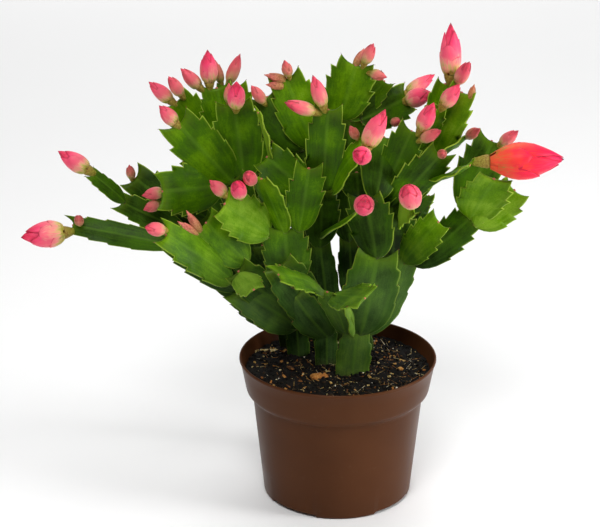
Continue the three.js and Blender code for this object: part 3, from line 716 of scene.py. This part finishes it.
def green_stem():
    """The flesh of the joints, with cork at an old foot, and the berries and bristles on them."""
    look = Look("fleshy_green_joint")
    tone, across, along, cork, fruit, bristle, blush = map(look.attribute, STEM_LAYERS)
    cloud = look.noise(look.place, 75)
    speckle = look.noise(look.place, 1100)
    streak = look.grain_along((16, 2.5, 1), 3)
    height = look.add("ShaderNodeSeparateXYZ", {"Vector": look.place}).outputs["Z"]
    side = look.math("ABSOLUTE", across)
    # The margin mask carries a painted highlight along the edge, stronger on blades higher up.
    margin = look.between(side, 0.93, 0.995)
    upper = look.between(height, 0.12, 0.2, 0.2, 0.85)

    # The lightness from each blade's row is partly painted light and shade.
    light = look.math("ADD", tone, look.between(cloud, 0.25, 0.75, -0.19, 0.17))
    light = look.math("ADD", light, look.spread(streak, -0.09, 0.09))
    light = look.math("ADD", light, look.spread(speckle, -0.05, 0.05), clamped=True)
    old = look.between(height, *OLD_GREEN_HEIGHTS, 0, 0.8)
    flesh = look.blend(old, look.ramp(light, GREENS), look.ramp(light, OLD_GREENS))
    layers = [
        (look.between(side, 0.16, 0.02, 0, 0.25), MIDRIB_GREEN),
        (look.between(side, 0.45, 0.88, 0, 0.35), SHADED_GREEN),
        # painted highlight along the margin, with a paler edge colour
        (look.math("MULTIPLY", margin, upper), MARGIN_GREEN_AND_HIGHLIGHT),
        (look.between(along, 0.86, 1.03, 0, 0.25), YOUNG_GREEN),
        (cork, look.ramp(speckle, CORKS)),
        (fruit, look.ramp(speckle, OVARY_GREENS)),
        (blush, look.ramp(speckle, FLUSHES)),
        (bristle, BRISTLE_BROWN),
    ]
    for share, colour in layers:
        flesh = look.blend(share, flesh, colour)
    relief = look.blend(0.35, look.noise(look.place, 200), speckle)
    return look.done({
        "Base Color": flesh,
        "Roughness": look.spread(cloud, 0.34, 0.46),
        "Normal": look.bump(look.blend(0.3, relief, streak), 0.0005, 0.6),
        "Specular IOR Level": 0.06,
        "Subsurface Weight": 0.12,
        "Subsurface Radius": (0.5, 1.0, 0.2),
        "Subsurface Scale": 0.002,
    })


def petals(name, stops, vein_colour, rim_colour):
    """Tepals: the colour changes from foot to tip, and fine veins run along it."""
    look = Look(name)
    up, edge, ripe = map(look.attribute, PETAL_LAYERS)
    veins = look.grain_along((26, 1.6, 1), 2)
    cloud = look.noise(look.place, 160, 2)
    shift = look.math("ADD", up, look.spread(veins, -0.1, 0.1))
    shift = look.math("ADD", shift, look.spread(cloud, -0.08, 0.08), clamped=True)
    pale = look.between(veins, 0.5, 0.72, 0, 0.18)
    rim = look.between(edge, 0.45, 0.95)
    rim = look.math("MULTIPLY", rim, look.between(up, 0.1, 0.5, 0.3, 0.8))
    colour = look.blend(pale, look.ramp(shift, stops), vein_colour)
    colour = look.blend(rim, colour, rim_colour)
    return look.done({
        "Base Color": look.blend(ripe, look.ramp(shift, UNRIPE), colour),
        "Roughness": look.spread(cloud, 0.4, 0.52),
        "Normal": look.bump(veins, 0.0002, 0.5),
        "Specular IOR Level": 0.18,
        "Subsurface Weight": 0.2,
        "Subsurface Radius": (1.0, 0.4, 0.4),
        "Subsurface Scale": 0.002,
    })


# ---- pieces ----
def mesh_of(name, bm):
    mesh = bpy.data.meshes.new(name)
    bm.to_mesh(mesh)
    bm.free()
    return mesh


def put(name, data):
    made = bpy.data.objects.new(name, data)
    bpy.context.scene.collection.objects.link(made)
    return made


def piece(name, bm, material, slot, *replaced):
    """Turns a mesh in millimetres into a finished piece that stands for the named nodes."""
    bmesh.ops.scale(bm, vec=(MM, MM, MM), verts=bm.verts)
    made = put(name, mesh_of(name, bm))
    made.data.materials.append(material)
    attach(made, "root")
    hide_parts(*replaced)
    return made


def template(name, bm):
    """Keeps a shape for copying, smooth all over and with its place across and along as UV."""
    uv = bm.loops.layers.uv.new("UVMap")
    for face in bm.faces:
        face.smooth = True
        for loop in face.loops:
            loop[uv].uv = (loop.vert.co.x + 0.5, loop.vert.co.y + 0.5)
    return mesh_of(name, bm)


def slab(name, columns, rows):
    """A flat square with two faces, which add_copy can lay out as a blade or a tepal."""
    bm = bmesh.new()
    bmesh.ops.create_grid(bm, x_segments=columns, y_segments=rows, size=0.5)
    bmesh.ops.solidify(bm, geom=bm.faces[:], thickness=SLAB_THICKNESS)
    low = min(vertex.co.z for vertex in bm.verts)
    bmesh.ops.translate(bm, vec=(0, 0, -low - SLAB_THICKNESS / 2), verts=bm.verts)
    bmesh.ops.recalc_face_normals(bm, faces=bm.faces)
    return template(name, bm)


def ball(name, around, rings):
    bm = bmesh.new()
    bmesh.ops.create_uvsphere(bm, u_segments=around, v_segments=rings, radius=1)
    return template(name, bm)


def cone(name, sides):
    bm = bmesh.new()
    bmesh.ops.create_cone(bm, cap_ends=True, segments=sides, radius1=0.5, radius2=CONE_TOP, depth=1)
    return template(name, bm)


def pebble(name):
    bm = bmesh.new()
    bmesh.ops.create_icosphere(bm, subdivisions=1, radius=0.5)
    return template(name, bm)


def flake(name):
    bm = bmesh.new()
    bmesh.ops.create_cube(bm, size=1)
    bmesh.ops.bevel(
        bm,
        geom=bm.edges[:],
        offset=FLAKE_CORNER,
        segments=1,
        profile=0.5,
        affect="EDGES",
        material=-1,
    )
    return template(name, bm)


def layered(names):
    bm = bmesh.new()
    for name in names:
        bm.verts.layers.float.new(name)
    return bm


def add_copy(bm, shape, place, values):
    """Adds a copy of a kept shape: place gives each point's new place, values its layers."""
    before = len(bm.verts)
    bm.from_mesh(shape)
    bm.verts.ensure_lookup_table()
    layers = bm.verts.layers.float
    for vertex in bm.verts[before:]:
        at = vertex.co.copy()
        for name, value in values(at).items():
            vertex[layers[name]] = value
        vertex.co = place(at)


def directions(start, end, face):
    """Where a piece starts, its length, and the ways along it, out of its face and across it."""
    start, along, out = Vector(start), Vector(end) - Vector(start), Vector(face)
    length = along.length
    along.normalize()
    out = (out - along * out.dot(along)).normalized()
    return start, length, along, out, along.cross(out)


def follow(outline, share):
    """The value that a list of (share, value) has at a share."""
    for (first, low), (second, high) in zip(outline, outline[1:]):
        if share <= second:
            return low + (high - low) * (share - first) / (second - first)
    return outline[-1][1]


# ---- blades ----
def wear_of(foot, width):
    """How far a blade's teeth are worn: not at all is 0, level with their neighbours is 1."""
    if foot[2] < OLD_HEIGHT:
        return OLD_WEAR
    return SLENDER_WEAR if width < SLENDER_WIDTH else 0


def worn_rows(worn):
    """The rows of a blade, the toothed ones evened out with their neighbours."""
    rows = list(BLADE_ROWS)
    for step in TOOTHED_ROWS:
        before, (margin, half, rib), after = BLADE_ROWS[step - 1 : step + 2]
        margin += worn * ((before[0] + margin + after[0]) / 3 - margin)
        half += worn * ((before[1] + half + after[1]) / 3 - half)
        rows[step] = (margin, half, rib)
    return rows


def row_of(at):
    """The number of the blade row that a point of the slab lies in."""
    return round((at.y + 0.5) * LAST_ROW)


def off_rib(at):
    """How far out from the rib a point of the slab comes to lie, as a share."""
    return 1 - (1 - abs(2 * at.x)) ** COLUMN_CROWDING


def blade_place(row, index, chance):
    """The function that lays the flat slab out as one toothed joint of a stem."""
    foot, tip, width, face, _ = row
    start, length, along, out, across = directions(foot, tip, face)
    half_width = width / 2
    oldest = index == 0
    worn = wear_of(foot, width)
    rows = worn_rows(worn)
    bow = BOW * length * math.sin(BOW_PACE * index)
    cup = 0 if oldest else CUP * math.sin(CUP_PACE * index + 1)
    skew = TOOTH_SHIFT if index % 2 else -TOOTH_SHIFT
    fold = 0 if oldest else chance.uniform(*FOLDS)
    twist = chance.uniform(-TWIST, TWIST)
    tooth = chance.uniform(*TOOTH_SPREAD)
    phase = chance.uniform(0, math.tau)
    waves = chance.uniform(*WAVES)

    def place(at):
        step, off, side = row_of(at), off_rib(at), math.copysign(1, at.x)
        margin, half, rib = rows[step]
        if step in TOOTHED_ROWS:
            margin += side * skew
        if step in TOOTH_TIPS:
            half += tooth * (1 - worn)
        share = rib + (margin - rib) * off**ROW_SWEEP
        sideways = off * half
        middle = RIB_THICKNESS + (TIP_THICKNESS - RIB_THICKNESS) * share
        middle *= OLD_SWELL if oldest else min(1, FOOT_THICKNESS + FOOT_SWELL * share)
        thickness = EDGE_THICKNESS + (middle - EDGE_THICKNESS) * (1 - off**FACE_ROUNDING)
        thickness += MIDRIB * math.exp(-((off / MIDRIB_SPREAD) ** 2)) * (1 - MIDRIB_FADE * share)
        wave = MARGIN_WAVE * off**3 * math.sin(math.tau * waves * share + phase + side)
        lift = bow * 4 * share * (1 - share) + cup * sideways**2 * half_width + wave
        lift += (fold + twist * side * (share - TWIST_START)) * sideways * half_width
        lift += math.copysign(thickness / 2, at.z)
        return start + along * (share * length) + across * (sideways * side * half_width) + out * lift

    return place


def add_blade(bm, row, index, chance):
    place = blade_place(row, index, chance)
    # The blade's lightness is partly its own tone and partly painted light and shade, given per blade by
    # where it sits in the plant.
    tone = row[4] + chance.uniform(-TONE_SPREAD, TONE_SPREAD)
    cork_at_foot, cork_fade = CORK if index else OLD_CORK

    def values(at):
        along = BLADE_ROWS[row_of(at)][2]
        cork = max(0, cork_at_foot - cork_fade * along)
        return {"tone": tone, "across": math.copysign(off_rib(at), at.x), "along": along, "cork": cork}

    add_copy(bm, SHAPES["blade"], place, values)
    if index == 0:
        return
    add_tip_nub(bm, row, chance)
    for step in NOTCHES:
        for side in (-0.5, 0.5):
            if chance.random() < BRISTLE_CHANCE:
                corner = Vector((side, step / LAST_ROW - 0.5, 0))
                inward = Vector((side * BRISTLE_INWARD, corner.y, 0))
                add_bristle(bm, place(corner), place(corner) - place(inward), row[3], chance)


def add_tip_nub(bm, row, chance):
    """The reddish growing point in the middle of a joint's tip."""
    foot, tip, _, face, _ = row
    start, length, along, out, across = directions(foot, tip, face)
    size = chance.uniform(*NUB_SIZE)

    def place(at):
        ahead = along * (length + NUB_AHEAD + at.y * size)
        return start + ahead + (across * at.x * NUB_BREADTH + out * at.z) * size

    add_copy(bm, SHAPES["crumb"], place, lambda at: {"fruit": 1, "blush": NUB_BLUSH})


def add_bristle(bm, foot, away, face, chance):
    """The dry brown tuft in the corner above a tooth."""
    jitter = [chance.uniform(-BRISTLE_SPREAD, BRISTLE_SPREAD) for _ in range(3)]
    _, _, along, out, across = directions((0, 0, 0), away.normalized() + Vector(jitter), face)
    length, thickness = chance.uniform(*BRISTLE_LENGTH), chance.uniform(*BRISTLE_WIDTH)

    def place(at):
        return foot + along * ((at.z + BRISTLE_RISE) * length) + (across * at.x + out * at.y) * thickness

    add_copy(bm, SHAPES["fibre"], place, lambda at: {"bristle": 1})


# ---- buds ----
def share_of(at):
    """How far up a ball a point is, by its angle."""
    return math.acos(clamp(-at.z, -1, 1)) / math.pi


def off_pole(at):
    """Nought at the two poles of a ball, where a bud comes to a point, and 1 elsewhere."""
    return 0 if abs(at.z) > NEAR_POLE else 1


def add_ovary(bm, foot, tip, width):
    """The green berry under a bud, sunk in the end of its joint."""
    start, length, along, out, across = directions(foot, tip, BUD_FACE)
    bottom, top = -COLLAR_ROOT, COLLAR_SHARE * length + COLLAR_OVERLAP
    widest = clamp(OVARY_WIDTH_SHARE * width, *OVARY_RADII)

    def place(at):
        share, turn = share_of(at), math.atan2(at.y, at.x)
        ribbed = 1 + OVARY_RIB_DEPTH * math.cos(OVARY_RIBS * turn)
        radius = follow(OVARY_PROFILE, share) * widest * ribbed * off_pole(at)
        sideways = (across * math.cos(turn) + out * math.sin(turn)) * radius
        return start + along * (bottom + (top - bottom) * share) + sideways

    add_copy(bm, SHAPES["bud"], place, lambda at: {"fruit": 1, "blush": OVARY_FLUSH * share_of(at)})


def bud_point(way, width, share, turn, extra):
    """A point on a bud, by its share of the length and its turn, with some extra radius."""
    start, length, along, out, across, profile = way
    radius = follow(profile, share) * width / 2 + extra
    return start + along * (share * length) + (out * math.cos(turn) + across * math.sin(turn)) * radius


def add_bud_core(bm, way, width, values):
    def place(at):
        turn, off = math.atan2(at.y, at.x), off_pole(at)
        return bud_point(way, width * off, share_of(at), turn, -CORE_SINK * off)

    add_copy(bm, SHAPES["bud"], place, lambda at: values(share_of(at), 0))


def add_tepal(bm, way, width, scale, values):
    """One scale of the bud: from share to share of its length, round the bud at a turn."""
    first, second, turn, half_turn, lift = scale
    thickness = min(TEPAL_THICKNESS, TEPAL_THICKNESS_SHARE * width)

    def place(at):
        share, x = at.y + 0.5, 2 * at.x
        spread = follow(TEPAL_OUTLINE, share) * half_turn
        rise = lift * share**TEPAL_CURL + TEPAL_CROWN * width * (1 - abs(x)) + TEPAL_CLEARANCE
        thin = (1 - TEPAL_SIDE_THINNING * x * x) * (1 - TEPAL_TIP_THINNING * share**4)
        layer = math.copysign(thickness / 2, at.z) * thin
        return bud_point(way, width, first + (second - first) * share, turn + x * spread, rise + layer)

    def layers(at):
        share, x = at.y + 0.5, abs(2 * at.x)
        across = (x - TEPAL_RIM[0]) * TEPAL_RIM_RISE[0]
        ahead = (share - TEPAL_RIM[1]) * TEPAL_RIM_RISE[1]
        up = first + (second - first) * share + SCALE_TINT * math.sin(4 * turn)
        return values(up, clamp(max(across, ahead), 0, 1))

    add_copy(bm, SHAPES["tepal"], place, layers)


def scales_of(width, loose, chance):
    """The overlapping scales of a bud, the lowest first."""
    lift = SCALE_LIFT * width + (LOOSE_LIFT if loose else 0)
    start = chance.uniform(0, math.tau)
    scales = []
    tiers = WIDE_TIERS if width > WIDE_BUD_WIDTH else SMALL_TIERS
    for tier, (first, second) in enumerate(tiers):
        for i in range(SCALES_ROUND):
            turn = start + (i + tier / 2) * math.tau / SCALES_ROUND
            turn += chance.uniform(-SCALE_TURN_SPREAD, SCALE_TURN_SPREAD)
            end = second + chance.uniform(-SCALE_END_SPREAD, SCALE_END_SPREAD)
            rise = lift * chance.uniform(*SCALE_LIFT_SPREAD)
            scales.append((first, end, turn, SCALE_HALF_TURN, rise))
    return scales


def add_bud(bm, foot, tip, width, scales, profile, values):
    """The body and the scales of a bud, above the collar that its ovary takes."""
    foot, tip = Vector(foot), Vector(tip)
    base = foot.lerp(tip, COLLAR_SHARE + BUD_GAP / (tip - foot).length)
    way = (*directions(base, tip, BUD_FACE), profile)
    add_bud_core(bm, way, width * BUD_SLACK, values)
    for scale in scales:
        add_tepal(bm, way, width * BUD_SLACK, scale, values)


def add_green_bud(bm, bud, chance):
    """A bud still too small to have coloured, which is part of its stem."""
    foot, tip, width = bud
    root = Vector(foot).lerp(Vector(tip), -GREEN_BUD_ROOT)
    flush = clamp((width - FLUSH_WIDTH) / FLUSH_SPAN, *GREEN_FLUSH)

    def values(up, edge):
        return {"fruit": 1, "blush": flush * min(1, GREEN_FLUSH_FOOT + up)}

    add_bud(bm, root, tip, width, scales_of(width, False, chance), BUD_PROFILE, values)


def add_coloured_bud(name, number, bud, chance):
    """A bud or the opening flower, a piece of its own."""
    foot, tip, width, *state = bud
    if "open" in state:
        label, material, slot = f"flower_{name}", RED, "red_petals"
        scales, profile, ripe = FLOWER_SCALES, FLOWER_PROFILE, 1
    else:
        label, material, slot = f"bud_{name}_{number}", PINK, "pink_petals"
        scales, profile = scales_of(width, "loose" in state, chance), BUD_PROFILE
        ripe = clamp((width - RIPE_WIDTH) / RIPE_SPAN, *RIPENESS) * chance.uniform(*RIPENESS_SPREAD)
    bm = layered(PETAL_LAYERS)

    def values(up, edge):
        return {"up": up, "edge": edge, "ripe": ripe}

    add_bud(bm, foot, tip, width, scales, profile, values)
    piece(f"{label}_tepals", bm, material, slot, label)


def add_plant(name):
    """One cutting: its joints, green ovaries and green buds as one piece, and each coloured bud."""
    chance = random.Random(name)
    bm = layered(STEM_LAYERS)
    for index, row in enumerate(BLADES[name]):
        add_blade(bm, row, index, chance)
    number = 0
    for bud in BUDS[name]:
        foot, tip, width, *_ = bud
        if width <= GREEN_BUD_WIDTH:
            add_green_bud(bm, bud, chance)
        else:
            number += 1
            add_ovary(bm, foot, tip, width)
            add_coloured_bud(name, number, bud, chance)
    piece(f"joints_{name}", bm, GREEN, "green_stem", f"stem_{name}")


# ---- pot ----
def spun(outline, step):
    """A solid turned about the pot's axis from the outline of its half section."""
    bm = bmesh.new()
    tilt = Matrix.Rotation(math.radians(step / 2), 3, "Z")
    points = [bm.verts.new(tilt @ Vector((radius, 0, height))) for radius, height in outline]
    for first, second in zip(points, points[1:]):
        bm.edges.new((first, second))
    bmesh.ops.spin(
        bm,
        geom=bm.verts[:] + bm.edges[:],
        axis=(0, 0, 1),
        cent=(0, 0, 0),
        angle=math.tau,
        steps=round(360 / step),
        use_merge=True,
    )
    bmesh.ops.remove_doubles(bm, verts=bm.verts, dist=0.001)
    bmesh.ops.recalc_face_normals(bm, faces=bm.faces)
    return bm


def polar(point):
    return math.hypot(point.x, point.y), math.degrees(math.atan2(point.y, point.x))


def angle_from(angle, centre):
    return abs((angle - centre + 180) % 360 - 180)


def lift_between_feet(bm, gaps):
    """Raises the outer part of the underside between the feet."""
    for vertex in bm.verts:
        radius, angle = polar(vertex.co)
        between_feet = min(angle_from(angle, gap) for gap in gaps) < NOTCH_ANGLE / 2 - 0.5
        if radius > NOTCH_RADIUS and between_feet and vertex.co.z < NOTCH_DEPTH:
            vertex.co.z = NOTCH_DEPTH


def cut_slot(bm, gap):
    """Cuts a drain slot through the pot's floor and joins the edges of the two holes."""
    cut = []
    for face in bm.faces:
        middle = face.calc_center_median()
        radius, angle = polar(middle)
        inside = SLOT_RADII[0] < radius < SLOT_RADII[1] and angle_from(angle, gap) < SLOT_HALF_ANGLE
        if inside and middle.z < FLOOR + 0.5:
            cut.append(face)
    bmesh.ops.delete(bm, geom=cut, context="FACES")
    bmesh.ops.bridge_loops(bm, edges=[edge for edge in bm.edges if edge.is_boundary])


def add_pot():
    bm = spun(POT_OUTLINE, POT_STEP)
    gaps = [-90 + FOOT_TURN + (i + 0.5) * 360 / FEET for i in range(FEET)]
    lift_between_feet(bm, gaps)
    for gap in gaps:
        cut_slot(bm, gap)
    bmesh.ops.recalc_face_normals(bm, faces=bm.faces)
    for face in bm.faces:
        face.smooth = True
    made = piece("nursery_pot", bm, pot_plastic(), "pot_plastic", "pot")
    made.data.set_sharp_from_angle(angle=math.radians(POT_CREASE))


# ---- soil ----
def soil_height(x, y):
    """The height of the soil, with its lumps, its crumble and its grit."""
    level = clamp((SOIL_LEVEL_RADIUS - math.hypot(x, y)) / SOIL_SHOULDER, 0, 1)
    lumps = math.sin(0.19 * x + 1) * math.cos(0.23 * y) + 0.6 * math.sin(0.41 * x - 0.33 * y)
    crumble = SOIL_CRUMBLE * noise.noise((CRUMBLE_SCALE * x, CRUMBLE_SCALE * y, 3))
    grit = SOIL_GRIT * noise.noise((GRIT_SCALE * x, GRIT_SCALE * y, 7))
    return SOIL_TOP + level * SOIL_LUMPS * lumps + crumble + grit


def add_ground(bm):
    """The body of the soil, which fills the pot, with an uneven top."""
    rings = [(SOIL_RADIUS * i / SOIL_RINGS, SOIL_TOP) for i in range(SOIL_RINGS + 1)]
    below = [
        (BAND_RADIUS - WALL - FIT, BAND_Z),
        (NECK_RADIUS - WALL - FIT, NECK_Z),
        (BASE_RADIUS - WALL - FIT - 1, FLOOR + FIT),
        (0, FLOOR + FIT),
    ]

    def place(at):
        return Vector((at.x, at.y, soil_height(at.x, at.y))) if at.z > SOIL_TOP - 0.1 else at

    def values(at):
        spot = (SOIL_TINT_SCALE * at.x, SOIL_TINT_SCALE * at.y, 11)
        return {"tint": SOIL_TINT + SOIL_TINT_SPREAD * noise.noise(spot)}

    add_copy(bm, template("ground_shape", spun(rings + below, SOIL_STEP)), place, values)


def add_bit(bm, kind, where, size, turn, tint):
    """A piece of bark, peat or perlite that lies on the soil, half sunk."""
    rest = Vector((*where, soil_height(*where)))
    turns = [Matrix.Rotation(angle, 3, axis) for angle, axis in zip(turn, "ZXY")]
    spin = turns[0] @ turns[1] @ turns[2]

    def place(at):
        return rest + spin @ Vector((at.x * size[0], at.y * size[1], at.z * size[2]))

    add_copy(bm, SHAPES[kind], place, lambda at: {"tint": tint})


def anywhere(chance, reach):
    radius, angle = reach * math.sqrt(chance.random()), chance.uniform(0, math.tau)
    return radius * math.cos(angle), radius * math.sin(angle)


def strew_bits(bm, chance):
    """Crumbs of peat, chips of bark, perlite and fibres, anywhere on the soil."""
    count, reach, sizes, tints = CRUMBS
    for _ in range(count):
        whole = chance.uniform(*sizes)
        size = [whole * chance.uniform(*CRUMB_SIDES) for _ in range(3)]
        turn = [chance.uniform(0, math.tau) for _ in range(3)]
        add_bit(bm, "crumb", anywhere(chance, reach), size, turn, chance.triangular(*tints))
    count, reach, sizes, tilt, tints = CHIPS
    for _ in range(count):
        size = [chance.uniform(*side) for side in sizes]
        turn = [chance.uniform(0, math.tau), chance.uniform(-tilt, tilt), chance.uniform(-tilt, tilt)]
        add_bit(bm, "chip", anywhere(chance, reach), size, turn, chance.uniform(*tints))
    count, reach, sizes, tints = PERLITE
    for _ in range(count):
        size = [chance.uniform(*sizes)] * 3
        add_bit(bm, "crumb", anywhere(chance, reach), size, (0, 0, 0), chance.uniform(*tints))
    count, reach, sizes, tilt, tints = FIBRES
    for _ in range(count):
        size = [chance.uniform(*side) for side in sizes]
        turn = [chance.uniform(0, math.tau), math.pi / 2 + chance.uniform(-tilt, tilt), 0]
        add_bit(bm, "fibre", anywhere(chance, reach), size, turn, chance.uniform(*tints))


def add_soil():
    bm = layered(SOIL_LAYERS)
    add_ground(bm)
    strew_bits(bm, random.Random(SOIL_SEED))
    for bit in SEEN_BITS:
        add_bit(bm, *bit)
    piece("peat", bm, peat_soil(), "peat_soil", "soil")


# ---- camera, light and floor ----
def add_camera():
    pitch = math.radians(CAMERA_PITCH)
    lens = bpy.data.cameras.new("camera")
    lens.sensor_width = SENSOR
    lens.lens = LENS
    made = put("camera", lens)
    away = Vector((0, -math.cos(pitch), math.sin(pitch)))
    made.location = Vector(CAMERA_TARGET) + away * CAMERA_DISTANCE
    made.rotation_euler = (math.pi / 2 - pitch, 0, 0)
    bpy.context.scene.camera = made


def add_light(name, where, size, power, target=PLANT_MIDDLE):
    lamp = bpy.data.lights.new(name, "AREA")
    lamp.shape = "RECTANGLE"
    lamp.size, lamp.size_y = size
    lamp.energy = power
    made = put(name, lamp)
    made.location = where
    ahead = Vector(target) - Vector(where)
    made.rotation_euler = ahead.to_track_quat("-Z", "Y").to_euler()


def add_floor():
    bm = bmesh.new()
    bmesh.ops.create_grid(bm, x_segments=2, y_segments=2, size=FLOOR_SIZE)
    floor = put("studio_floor", mesh_of("studio_floor", bm))
    look = Look("pale_floor")
    colour = look.ramp(look.noise(look.place, 3), FLOOR_WHITES)
    floor.data.materials.append(look.done({"Base Color": colour, "Roughness": 0.7}))
    floor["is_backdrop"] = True


def add_studio():
    world = bpy.data.worlds.new("studio")
    world.use_nodes = True
    background = world.node_tree.nodes["Background"].inputs
    background["Color"].default_value = (1, 1, 1, 1)
    background["Strength"].default_value = WORLD_STRENGTH
    bpy.context.scene.world = world
    for light in STUDIO_LIGHTS:
        add_light(*light)
    add_floor()


add_camera()
# The shapes that all pieces are made of, for copying.
SHAPES = {
    "blade": slab("blade_shape", BLADE_COLUMNS, LAST_ROW),
    "tepal": slab("tepal_shape", TEPAL_COLUMNS, TEPAL_STEPS),
    "bud": ball("bud_shape", CORE_SIDES, CORE_RINGS),
    "fibre": cone("tuft_shape", FIBRE_SIDES),
    "crumb": pebble("pebble_shape"),
    "chip": flake("flake_shape"),
}
GREEN = green_stem()
PINK = petals("pink_tepals", PINKS, PINK_VEIN, PINK_RIM)
RED = petals("red_tepals", REDS, RED_VEIN, RED_RIM)

add_studio()
add_pot()
add_soil()
for plant in BLADES:
    add_plant(plant)

bpy.context.scene.view_settings.view_transform = "Standard"
sizes = {"cad": box_at_load, "visual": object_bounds()}
sizes = {name: [list(low), list(high)] for name, (low, high) in sizes.items()}
